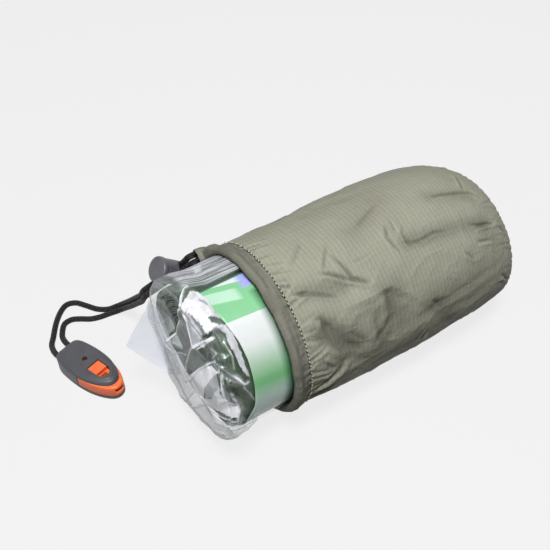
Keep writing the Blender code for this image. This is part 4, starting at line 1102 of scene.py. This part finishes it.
# Stitches of the hem: one row of pale thread, 2.2 mm a stitch
thread, tree, shader = new_material("pale_thread", Base_Color=(0.5, 0.48, 0.36, 1), Roughness=0.6)
twist = noise(tree, 6000.0)
tree.links.new(mix_colour(tree, twist, (0.42, 0.4, 0.3), (0.62, 0.6, 0.46)), shader.inputs["Base Color"])
bump(tree, shader, twist, 0.00004)
STITCHES = 128
verts, faces = [], []
for n in range(STITCHES):
    angle = TURN * (n + 0.5) / STITCHES
    k = round(angle / TURN * HEM_ROUND) % HEM_ROUND
    r = 46.35 * MM - gather[k] * 0.75 * MM + 0.1 * MM
    first = len(verts)
    for m in range(5):
        s = m / 4 - 0.5
        wide = 0.3 * MM * math.sqrt(max(0.0, 1 - (2 * s) ** 2) + 0.1)
        rise = 0.34 * MM * math.cos(s * math.pi) - 0.05 * MM
        for q in range(6):
            turn = TURN * q / 6
            x = MOUTH_X + 9.2 * MM + wide * math.cos(turn)
            verts.append(tuple(round_point(x, r + rise + wide * 0.7 * math.sin(turn), angle + s * 0.034)))
    for m in range(4):
        for q in range(6):
            a, b = first + m * 6 + q, first + m * 6 + (q + 1) % 6
            faces.append((a, a + 6, b + 6, b))
    faces.append(tuple(first + q for q in range(6)))
    faces.append(tuple(first + 24 + q for q in reversed(range(6))))
mesh = bpy.data.meshes.new("hem_stitches")
mesh.from_pydata(verts, [], faces)
stitches = put_in("hem_stitches", mesh)
mended(stitches)
mesh.shade_smooth()
mesh.materials.append(thread)
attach(stitches, "sack")


# Rolled bivvy: thin dark green cloth, folded and rolled up tight. Its end shows through the film as
# close turns of folded edges.
PACK_FRONT_X = MOUTH_X - 29 * MM
PACK_BACK_X = BASE_X - 36 * MM
PITCH, PLY = 3.6 * MM, 3.1 * MM
CORE_R = 4.6 * MM
FILM_R = 42.5 * MM
WALL, GAP = 0.6 * MM, 0.3 * MM  # of film and sheet in the solids, and between them
SHEET_R = FILM_R - WALL - GAP - 0.175 * MM
ROLL_R = SHEET_R - WALL - GAP
turns = (ROLL_R - PLY - CORE_R) / PITCH
count = round(turns * 64)
share = np.linspace(0, 1, count + 1)
spiral = math.radians(250) - TURN * turns * (1 - share)
inner_r = CORE_R + PITCH * turns * share
layers = np.array([0, 0.06, 0.28, 0.33, 0.36, 0.62, 0.66, 0.7, 0.94, 1.0])
depths = np.array([1.6, 0.5, 0.0, 1.3, 0.4, 0.0, 1.5, 0.4, 0.2, 1.7])
wander = soft_noise(share * 4 % 1, 0 * share, 40, 2, 41) + 0.5 * soft_noise(share * 4 % 1, 0 * share, 110, 2, 42)


def round_line(x, r, angles):
    """Points at x and at radius r about the pack's axis."""
    return np.stack([x + 0 * angles, r * np.cos(angles), AXIS_Z + r * np.sin(angles)], -1)


path = []
for k, layer in enumerate(layers):
    r = inner_r + PLY * layer
    lean = 3.2 * np.clip(np.cos(spiral - 0.45), 0, 1) ** 1.5 * np.clip((r / MM - 12) / 14, 0, 1)
    uneven = 0.5 * soft_noise(share * 3 % 1, 0 * share + k / 10, 60, 10, 43)
    front = PACK_FRONT_X + (depths[k] - lean + 0.55 * wander + 0.5 + uneven) * MM
    path.append(round_line(front, r, spiral))
for layer in (layers[-1], layers[0]):
    path.append(round_line(PACK_BACK_X, inner_r + PLY * layer, spiral))
rows = np.stack(path, 1)
round_len = run_along(rows[:, 0])
ply_len = np.array([0, 0.2, 0.9, 1, 1.1, 1.9, 2, 2.1, 2.8, 3, 146, 149, 292]) * MM
roll = skin("rolled_bivvy", rows, *np.meshgrid(ply_len, round_len))
mended(roll, lambda at: True)
bivvy_cloth, tree, shader = new_material("bivvy_cloth", Roughness=0.38)
blotch = noise(tree, 160.0, 4.0, Roughness=0.65)
tree.links.new(mix_colour(tree, blotch, (0.008, 0.022, 0.010), (0.06, 0.11, 0.05)), shader.inputs["Base Color"])
bump(tree, shader, noise(tree, 700.0, 3.0), 0.0006, 0.5)
roll.data.materials.append(bivvy_cloth)
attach(roll, "bivvy_pack")
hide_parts("bivvy_roll")


# Insert sheet: a printed paper sheet wrapped round the roll under the film. The print is plain
# bands of green, mint and white, a design of its own.
SHEET_STEPS = 190
sheet_angles = np.radians(np.linspace(88, 276, SHEET_STEPS))
front_angles = np.array([88, 104, 117, 132, 146, 165, 184, 200, 230, 276])
front_places = np.array([-25.3, -23.5, -21.5, -19.6, -19.0, -19.6, -21.0, -24.4, -25.0, -25.0])
front_x = MOUTH_X + np.interp(np.degrees(sheet_angles), front_angles, front_places) * MM
rows = []
for s in np.linspace(0, 1, 120):
    x = front_x + (PACK_FRONT_X + 140 * MM - front_x) * s
    ease = 0.12 * soft_noise(sheet_angles / TURN, 0 * sheet_angles + s, 24, 12, 51) * MM
    rows.append(round_line(x, SHEET_R - 0.15 * MM + ease, sheet_angles))
rows = np.array(rows)
# The print lies one step further round than the paper
ahead = np.minimum(np.arange(SHEET_STEPS) + 1, SHEET_STEPS - 1)
along = rows[:, ahead, 0] - MOUTH_X
across = np.degrees(sheet_angles[ahead]) / 1000 + 0 * along
insert = skin("insert", rows[:, ::-1], across[:, ::-1], along[:, ::-1], closed_round=False)
reshaped(insert, "SOLIDIFY", thickness=0.15 * MM, offset=-1)

printed, tree, shader = new_material("printed_sheet", Roughness=0.32)
uv = node(tree, "SeparateXYZ", Vector=node(tree, "UVMap").outputs[0])
wob = noise(tree, 60.0)
level = math_node(tree, "MULTIPLY", uv.outputs["X"], 1000.0)
forward = math_node(tree, "MULTIPLY", uv.outputs["Y"], 1000.0)
lean = math_node(tree, "MULTIPLY", math_node(tree, "ADD", forward, 20.0), -0.36)
slanting = math_node(tree, "ADD", level, lean)
slanting = math_node(tree, "ADD", slanting, math_node(tree, "MULTIPLY", wob, 1.4))


def step_up(tree, value, start, width):
    """0 up to the start and 1 from a width further on."""
    return math_node(tree, "DIVIDE", math_node(tree, "SUBTRACT", value, start), width, clamp=True)


def band(tree, value, low, high, soft=0.5):
    """1 where the value lies between two edges, with a soft step at each."""
    up = step_up(tree, value, low, soft)
    down = math_node(tree, "DIVIDE", math_node(tree, "SUBTRACT", high, value), soft, clamp=True)
    return math_node(tree, "MULTIPLY", up, down)


green, mint, white = (0.21, 0.55, 0.27), (0.48, 0.74, 0.56), (0.72, 0.75, 0.75)
ended = math_node(tree, "SUBTRACT", level, math_node(tree, "MULTIPLY", forward, 0.1))
panel = math_node(tree, "MULTIPLY", band(tree, slanting, 94.6, 105.2, 1.2), band(tree, forward, -40.0, -6.0, 3.0))
lilac = math_node(tree, "MULTIPLY", band(tree, level, 84.0, 102.5, 1.0), band(tree, forward, -5.5, 19.0, 3.0))
# Painted shade: the sheet turns dark green where it runs in under the hem
shaded = math_node(tree, "MULTIPLY", step_up(tree, forward, -3.5, 4.5), band(tree, level, 104.0, 260.0, 3.0))
colour = mix_colour(tree, band(tree, slanting, 89.9, 150.0), white, green)
for share, over in (
    (band(tree, ended, 121.0, 400.0), white),
    (panel, mint),
    (lilac, (0.38, 0.40, 0.80)),
    (band(tree, level, 80.0, 90.6), (0.03, 0.17, 0.10)),
    (step_up(tree, ended, 140.0, 27.0), (0.17, 0.50, 0.20)),
    (step_up(tree, ended, 170.0, 16.0), (0.60, 0.80, 0.73)),
    (math_node(tree, "MULTIPLY", shaded, 0.85), (0.02, 0.12, 0.045)),
):
    colour = mix_colour(tree, share, colour, over)
tree.links.new(colour, shader.inputs["Base Color"])
bump(tree, shader, wob, 0.0012, 0.4)
insert.data.materials.append(printed)
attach(insert, "bivvy_pack")
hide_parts("insert_sheet")


# Clear film bag: thin glossy polythene round the roll, folded over its end and crumpled, so that
# flat facets meet in sharp creases, which turn milky. One heat-sealed corner stands out flat at
# the back.
film_front = ((0.3, 0.985), (0.55, 0.93), (0.76, 0.82), (0.9, 0.62), (0.97, 0.36), (1.0, 0.06))
shape = [(PACK_BACK_X + 2 * MM, 1.0), (MOUTH_X, 1.0), (PACK_FRONT_X, 1.0)]
shape += [(PACK_FRONT_X - 10 * MM * d, s) for d, s in film_front]
shape = np.array([(x, FILM_R * s) for x, s in shape])
run = run_along(shape)
to_centre = run[-1] - run

# Where the facets meet in front: mm from the film's centre, degrees round it, height in mm
FOLDS = [
    (46.5, 83, 0.7), (39, 75, 1.6), (33, 51, 2.6), (32, 30, 2.6), (37.5, 96, 2.6), (12.5, 68, 2.4),
    (20.5, 6, 1.4), (23.5, 63, -2.6), (30.5, 9, 2.2), (49, 93, 1.4), (50, 102, 1.8), (50.5, 119, 0.6),
    (43.5, 121, 1.8), (42, 105, 2.8), (33, 122, 2.8), (39.5, 119, 0.8), (43, 126, 0.2), (28.5, 120, 0.2),
    (5, 36, 2.0), (12.5, 105, -1.6), (4, 153, -0.4), (12, 145, 1.8), (37.5, 139, -1.6), (40.5, 147, -1.2),
    (35, 163, 1.6), (16.5, 186, 2.2), (5.5, 231, 0.6), (33, 136, -1.2), (43, 144, 0.2), (46.5, 157, 0.8),
    (41.5, 171, -1.0), (42, 181, 0.5), (33.5, 179, 1.8), (21, 206, -1.0), (22, 262, 1.2), (32, 291, 1.4),
    (32, 267, 0.4), (29.5, 226, 1.6), (37.5, 207, 1.9), (43.5, 200, 1.0), (39.5, 153, 1.2), (39.5, 164, 0.0),
    (46, 169, 0.2), (46, 183, 0.7), (28.5, 102, -1.2), (36.5, 128, -1.4), (43.5, 133, -0.4), (47.5, 144, 0.2),
]
# Patches of the film's end that are stretched milky (1), half clear or clear (0), and partly painted reflection, as
# rings of (mm from the film's centre, degrees), each laid over those before it
PATCHES = (
    (0.42, (
        (5, 36), (17, 124), (10.5, 145), (6, 188), (7.5, 208), (10.5, 203), (21.5, 262), (34, 279), (34, 310),
        (8, 324),
    )),
    (0.52, (
        (32, 262), (37, 206), (43.5, 206), (56, 213), (53, 187), (46.5, 195), (41.5, 185), (20.5, 212),
        (24.5, 256),
    )),
    (0.55, ((30, 230), (47, 214), (47, 240), (47, 270), (47, 300), (47, 330), (36, 330), (33, 290), (28, 260))),
    (0.04, (
        (32, 30), (33.5, 57), (39, 79), (43, 85), (41.5, 89), (39, 93), (30.5, 91), (20, 82), (12, 60),
        (16, 47), (27, 17),
    )),
    (0.34, ((32, 28), (33.5, 57), (34.5, 69), (29, 72), (22, 79), (13, 58), (20.5, 33), (27, 17))),
    (0.42, (
        (36, 99), (28, 93), (13.5, 76), (9, 82), (17, 124), (24.5, 120), (32.5, 122), (33, 114), (35, 106),
    )),
    (0.95, (
        (45, 90), (48, 93), (49.5, 100), (49, 110), (51, 117), (45.5, 118), (41, 120), (41.5, 114),
        (40.5, 105), (39, 97),
    )),
    (0.15, ((44.5, 111), (48.5, 113), (51, 117), (49, 119), (45, 115))),
    (0.60, ((45, 98), (47.5, 101), (47.5, 105), (46.5, 104))),
    (0.55, ((39, 98), (40.5, 106), (40.5, 118), (35, 123), (33, 120), (35.5, 109), (37.5, 99))),
    (0.00, ((33, 111), (32.5, 121), (27, 119))),
    (0.00, ((40, 119), (43.5, 120), (41.5, 123), (37.5, 122))),
    (0.10, (
        (32.5, 126), (36.5, 125), (42.5, 127), (45, 125), (45, 119), (48.5, 125), (47.5, 130), (48.5, 138),
        (47.5, 155), (45.5, 149), (41, 140), (35, 136), (30, 136),
    )),
    (0.00, ((44.5, 130), (47, 130), (48, 139), (47.5, 153), (45.5, 147), (43.5, 139))),
    (0.80, (
        (45.5, 118), (50.5, 119), (52, 127), (51.5, 139), (51.5, 156), (49.5, 153), (48, 145), (48, 136),
        (47.5, 129), (48.5, 124),
    )),
    (1.00, ((43.5, 124), (36, 125), (33.5, 124), (42, 122))),
    (0.28, ((24, 120), (33.5, 124), (30.5, 137), (18.5, 143), (11.5, 142))),
    (1.00, (
        (24, 141), (33.5, 138), (38, 145), (33.5, 148), (27, 158), (23.5, 176), (19, 182), (12, 188), (7, 186),
    )),
    (0.62, ((33.5, 148), (38, 145), (38, 151), (37.5, 157), (33, 165), (24.5, 175), (27, 158))),
    (0.92, ((36, 156), (37, 165), (42.5, 171), (42, 183), (34, 178), (20, 201), (21, 181), (29.5, 170))),
    (0.02, (
        (39.5, 149), (45, 155), (52.5, 157), (53.5, 168), (53.5, 176), (48, 187), (46, 189), (43.5, 179),
        (44, 172), (42, 160), (39, 157),
    )),
    (0.05, ((37, 145), (39, 147), (38, 156), (36.5, 155))),
    (0.00, ((18.5, 188), (20.5, 183), (22, 189), (42.5, 180), (41.5, 184), (20, 208))),
)
# Hard white creases between them: height and width in mm, whiteness (milky film and painted reflection), course
HARD_CREASES = (
    (0.9, 0.5, 0.95, ((46.5, 84), (43.5, 85), (41, 91), (39.5, 95), (31, 92), (23.5, 88), (11, 58), (5, 61))),
    (0.5, 0.4, 0.60, ((21, 4), (11.5, 21), (5, 61), (17, 121))),
    (0.5, 0.4, 0.50, ((25.5, 16), (19, 38), (11.5, 45), (9.5, 54))),
    (1.1, 0.55, 1.0, ((32, 138), (38, 138), (41.5, 143), (45, 152), (47, 157), (50.5, 158))),
    (0.7, 0.45, 0.85, ((39, 98), (35.5, 109), (32.5, 122), (25.5, 120), (17.5, 126), (7.5, 157))),
    (0.6, 0.5, 1.0, ((32.5, 122), (38, 122), (43, 124))),
    (0.7, 0.45, 0.95, ((20, 211), (32.5, 183), (41.5, 184.5), (43, 172), (41, 160))),
    (0.6, 0.4, 0.90, ((39, 147), (38, 156), (37.5, 166), (42.5, 171))),
    (0.6, 0.45, 0.90, ((7.5, 260), (14.5, 159), (23.5, 142), (33, 138))),
    (0.4, 0.4, 0.70, ((12.5, 196), (21.5, 262), (30, 276))),
    (0.5, 0.5, 0.80, ((42.5, 118), (45.5, 118), (49, 119), (50.5, 123))),
    (0.7, 0.5, 0.70, ((33, 288), (24.5, 256), (20.5, 212), (32, 196), (46, 190), (53, 187))),
    (-0.8, 0.6, 0.0, ((44.5, 150), (41, 141), (36, 138.5), (33, 139.5))),
    (-0.7, 0.5, 0.0, ((43.5, 176), (43, 166), (41, 162))),
    (0.3, 0.35, 0.55, ((46, 158), (49, 166), (51, 174))),
    (0.3, 0.35, 0.45, ((46, 128), (46.5, 138), (45, 146))),
    (0.3, 0.35, 0.45, ((40, 128), (41, 133), (37, 135))),
)


def laid_out(points):
    """Points of (mm from the film's centre, degrees round it, anything more) as flat x and y."""
    return [(t * math.cos(math.radians(a)) * MM, t * math.sin(math.radians(a)) * MM, *more) for t, a, *more in points]


def facets(chosen, count, reach, tall, gap, seed):
    """Flat facets between fold points, chosen ones first and then scattered ones, read from above."""
    dice = np.random.default_rng(seed)
    spots = laid_out(chosen)
    tries = 0
    while len(spots) < count and tries < 60000:
        tries += 1
        p = dice.uniform(-reach, reach, 2)
        if np.hypot(*p) < reach and all((p[0] - q[0]) ** 2 + (p[1] - q[1]) ** 2 > gap**2 for q in spots):
            spots.append((p[0], p[1], dice.uniform(-1, 1) * tall))
    flat = [Vector(p[:2]) for p in spots]
    verts, _, faces, *_ = delaunay_2d_cdt(flat, [], [], 0, 1e-9)
    return BVHTree.FromPolygons([(v.x, v.y, spots[k][2]) for k, v in enumerate(verts)], [tuple(f) for f in faces])


def read_off(tree, x, y):
    hit = tree.ray_cast(Vector((x, y, 9)), Vector((0, 0, -1)))[0]
    return hit.z if hit else 0.0


def within(ring, x, y):
    """Which of the points lie inside a ring."""
    inside = np.zeros(x.shape, bool)
    for (x0, y0), (x1, y1) in zip(ring, ring[1:] + ring[:1]):
        if y0 != y1:
            inside ^= ((y0 > y) != (y1 > y)) & (x < (x1 - x0) * (y - y0) / (y1 - y0) + x0)
    return inside


def beside(line, x, y):
    """How far the points lie from a line, and how far along it, from 0 to 1."""
    near, along = np.full(x.shape, 1e9), np.zeros(x.shape)
    for k, ((x0, y0), (x1, y1)) in enumerate(zip(line, line[1:])):
        dx, dy = x1 - x0, y1 - y0
        t = np.clip(((x - x0) * dx + (y - y0) * dy) / (dx * dx + dy * dy), 0, 1)
        off = np.hypot(x - x0 - t * dx, y - y0 - t * dy)
        along = np.where(off < near, (k + t) / (len(line) - 1), along)
        near = np.minimum(near, off)
    return near, along


big = facets(FOLDS, 150, 80 * MM, 1.9, 7.5 * MM, 61)
small = facets([], 900, 80 * MM, 1.0, 2.6 * MM, 62)
FILM_ROUND = 470
steps = np.linspace(to_centre[0], to_centre[1] + 4 * MM, 22)
steps = np.concatenate([steps, np.linspace(to_centre[1] + 3.4 * MM, 0.5 * MM, 168)])
angles = np.arange(FILM_ROUND) * TURN / FILM_ROUND
flat_x, flat_y = steps[:, None] * np.cos(angles), steps[:, None] * np.sin(angles)
end_face = np.clip((to_centre[2] + 9 * MM - steps) / (5 * MM), 0, 1)[:, None]
round_deg = np.degrees(angles)
# Painted highlights: white streaks along the film over its top back, beside the sheet's edge
streak_highlights = (np.clip((87.5 - round_deg) / 4, 0, 1) * np.clip(round_deg / 30, 0, 1))[None, :]
streak_highlights = streak_highlights * np.clip((steps - 42 * MM) / (3 * MM), 0, 1)[:, None]
# The film's white map: partly stretched milky film, partly painted reflection
milk_and_reflection_map = np.where(steps[:, None] < 46.5 * MM, 0.16, 0.015) + 0 * flat_x
for level, ring in PATCHES:
    milk_and_reflection_map[within(laid_out(ring), flat_x, flat_y)] = level
ridge = np.zeros(flat_x.shape)
for tall, wide, level, course in HARD_CREASES:
    near, along = beside(laid_out(course), flat_x, flat_y)
    line = np.exp(-((near / (wide * MM)) ** 1.6)) * np.clip(np.minimum(along, 1 - along) / 0.06 + 0.35, 0, 1)
    ridge += tall * line
    milk_and_reflection_map = milk_and_reflection_map * (1 - line) + level * line


def film_shape(t):
    """The film's x and radius at a distance from its centre."""
    return [np.interp(-t, -to_centre, shape[:, k]) for k in (0, 1)]


rows, milk_and_reflection_rows = [], []
for k, t in enumerate(steps):
    (x, r), (x2, r2), (x1, r1) = film_shape(t), film_shape(t + 2 * MM), film_shape(t - 2 * MM)
    out = Vector((r1 - r2, x2 - x1)).normalized()
    rough = min(1.0, max(0.0, (to_centre[1] - 17 * MM - t) / (9 * MM)))
    free = min(1.0, max(0.0, (to_centre[1] - 4 * MM - t) / (10 * MM)))
    ring, whites = [], []
    for j, angle in enumerate(angles):
        px, py = flat_x[k, j], flat_y[k, j]
        h = read_off(big, px, py)
        fine = read_off(small, px, py)
        lift = h * (rough if h < 0 else max(rough, 0.35 * free)) + fine * (0.34 * rough + 0.05)
        lift += (0.9 * rough + 0.1) * (1 - 0.5 * abs(out[0])) + (1.2 * rough if out[1] > 0.7 else 0)
        back = max(0.0, math.cos(angle - 1.08)) ** 6
        pleat = math.sin(angle * 47 + 2.4 * math.sin(angle * 7)) ** 3
        lift += 0.34 * pleat * back * (1 - rough) + ridge[k, j] * end_face[k, 0]
        spot = round_point(x + out[0] * lift * MM, r + out[1] * lift * MM, angle)
        spot.z -= max(0.0, -math.sin(angle)) * 1.2 * MM * rough * min(1, r / FILM_R)
        ring.append(tuple(spot))
        whites.append(milk_and_reflection_map[k, j] + (0.02 * fine if milk_and_reflection_map[k, j] < 0.1 else 0))
    rows.append(ring)
    milk_and_reflection_rows.append(whites)
flat = np.meshgrid(np.arange(FILM_ROUND + 1) / FILM_ROUND * TURN * FILM_R, steps)
film = skin("film_bag", np.array(rows), *flat)
mended(film, lambda at: at.x < PACK_FRONT_X)
work = bmesh.new()
work.from_mesh(film.data)
work.normal_update()
bend = [max((v.normal.angle(e.other_vert(v).normal, 0) for e in v.link_edges), default=0) for v in work.verts]
work.free()
painted(film, "crease", np.clip((np.array(bend) - 0.1) / 0.55, 0, 1))
painted(film, "streak_highlights", streak_highlights)
painted(film, "milk_and_reflection", np.clip(milk_and_reflection_rows, 0, 1))
film.data.shade_smooth()

# Film is clear and reflects as thin bright sheet does; where it is stretched or creased it turns white, and its white
# patches are partly painted reflection
clear_film, tree, shader = new_material("clear_film", Roughness=0.12, IOR=1.6)
rim = node(tree, "LayerWeight", Blend=0.3)
cloudy_and_reflecting = math_node(tree, "MULTIPLY_ADD", noise(tree, 150.0, Roughness=0.5, Distortion=1.0), 0.6, 0.66)
cloudy_and_reflecting = math_node(tree, "MULTIPLY", painted_value(tree, "milk_and_reflection"), cloudy_and_reflecting, clamp=True)
# Painted highlights: streaks drawn along the film where the streak map is set, added to its white
along_it = node(tree, "VectorMath", "MULTIPLY", i0=node(tree, "UVMap").outputs[0], i1=(1000, 26, 1))
drawn = noise(tree, 1.0, 3.0, along_it.outputs[0], Roughness=0.65, Distortion=0.3)
drawn = math_node(tree, "MULTIPLY_ADD", drawn, 3.6, -1.1, clamp=True)
drawn = math_node(tree, "MULTIPLY", math_node(tree, "MULTIPLY", drawn, 0.78), painted_value(tree, "streak_highlights"))
cloudy_and_reflecting = math_node(tree, "MAXIMUM", cloudy_and_reflecting, drawn)
white = math_node(tree, "MULTIPLY_ADD", painted_value(tree, "crease"), 0.25, cloudy_and_reflecting, clamp=True)
opaque = math_node(tree, "MULTIPLY_ADD", white, 0.93, 0.01)
alpha = math_node(tree, "MULTIPLY_ADD", rim.outputs["Facing"], 0.08, opaque, clamp=True)
tree.links.new(alpha, shader.inputs["Alpha"])
solid = math_node(tree, "MULTIPLY", white, 1.5, clamp=True)
tree.links.new(math_node(tree, "SUBTRACT", 1.0, solid), shader.inputs["Metallic"])
whole = math_node(tree, "POWER", white, 1.6)
paler = mix_colour(tree, whole, (0.50, 0.53, 0.60), (0.86, 0.86, 0.90))
tree.links.new(mix_colour(tree, solid, (0.62, 0.72, 0.65), paler), shader.inputs["Base Color"])
tree.links.new(math_node(tree, "MULTIPLY_ADD", cloudy_and_reflecting, 0.25, 0.27, clamp=True), shader.inputs["Roughness"])
bump(tree, shader, noise(tree, 420.0, Distortion=0.6), 0.0005, 0.2)
film.data.materials.append(clear_film)
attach(film, "bivvy_pack")
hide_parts("clear_bag")

# The flat corner lies between the fold where it leaves the film and its free edges, which meet at the tip
tip, top, fold, low, low_free = (
    round_point(x * MM, r * MM, math.radians(angle))
    for x, r, angle in (
        (MOUTH_X / MM - 54, 36.1, -14),
        (PACK_FRONT_X / MM - 6, FILM_R / MM * 0.95, 15),
        (PACK_FRONT_X / MM - 3.5, FILM_R / MM * 0.74, 7),
        (PACK_FRONT_X / MM - 5, FILM_R / MM * 0.62, -63),
        (PACK_FRONT_X / MM - 12.5, FILM_R / MM * 0.58, -54),
    )
)
EAR_LONG, EAR_WIDE = 60, 40


def even_line(line, marks):
    """The line read at evenly spaced marks."""
    stops = np.linspace(0, marks[-1], EAR_LONG)
    return np.stack([np.interp(stops, marks, line[:, k]) for k in range(3)], 1)


inner_edge = even_steps(smooth_route([top, fold, low]), 1.0 * MM)[0]
inner_edge = even_line(inner_edge, np.linspace(0, 1, len(inner_edge)))
outer_edge = np.array([tuple(corner) for corner in (top, tip, low_free, low)])
outer_edge = even_line(outer_edge, run_along(outer_edge))
normal = np.cross(outer_edge[20] - inner_edge[5], outer_edge[40] - inner_edge[30])
normal /= np.linalg.norm(normal)
rows = []
for s in np.linspace(0, 1, EAR_WIDE):
    line = inner_edge * (1 - s) + outer_edge * s
    tall = 0.9 * math.sin(math.pi * min(1, s * 1.2)) ** 0.5 if s < 0.8 else 0.25
    wave = soft_noise(np.linspace(0, 0.99, EAR_LONG), np.full(EAR_LONG, s * 0.9), 7, 5, 71) * tall * MM
    rows.append(line + normal * wave[:, None])
flat = np.meshgrid(np.linspace(0, 0.05, EAR_LONG), np.linspace(0, 0.04, EAR_WIDE))
ear = skin("film_corner", np.array(rows), *flat, closed_round=False)
ear_film, tree, shader = new_material(
    "film_corner", Base_Color=(0.50, 0.52, 0.62, 1), Roughness=0.34, IOR=1.4, Alpha=0.8
)
haze = noise(tree, 70.0, 3.0)
tree.links.new(math_node(tree, "MULTIPLY_ADD", haze, 0.5, 0.25, clamp=True), shader.inputs["Alpha"])
bump(tree, shader, haze, 0.001, 0.3)
ear.data.materials.append(ear_film)
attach(ear, "bivvy_pack")


low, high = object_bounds()
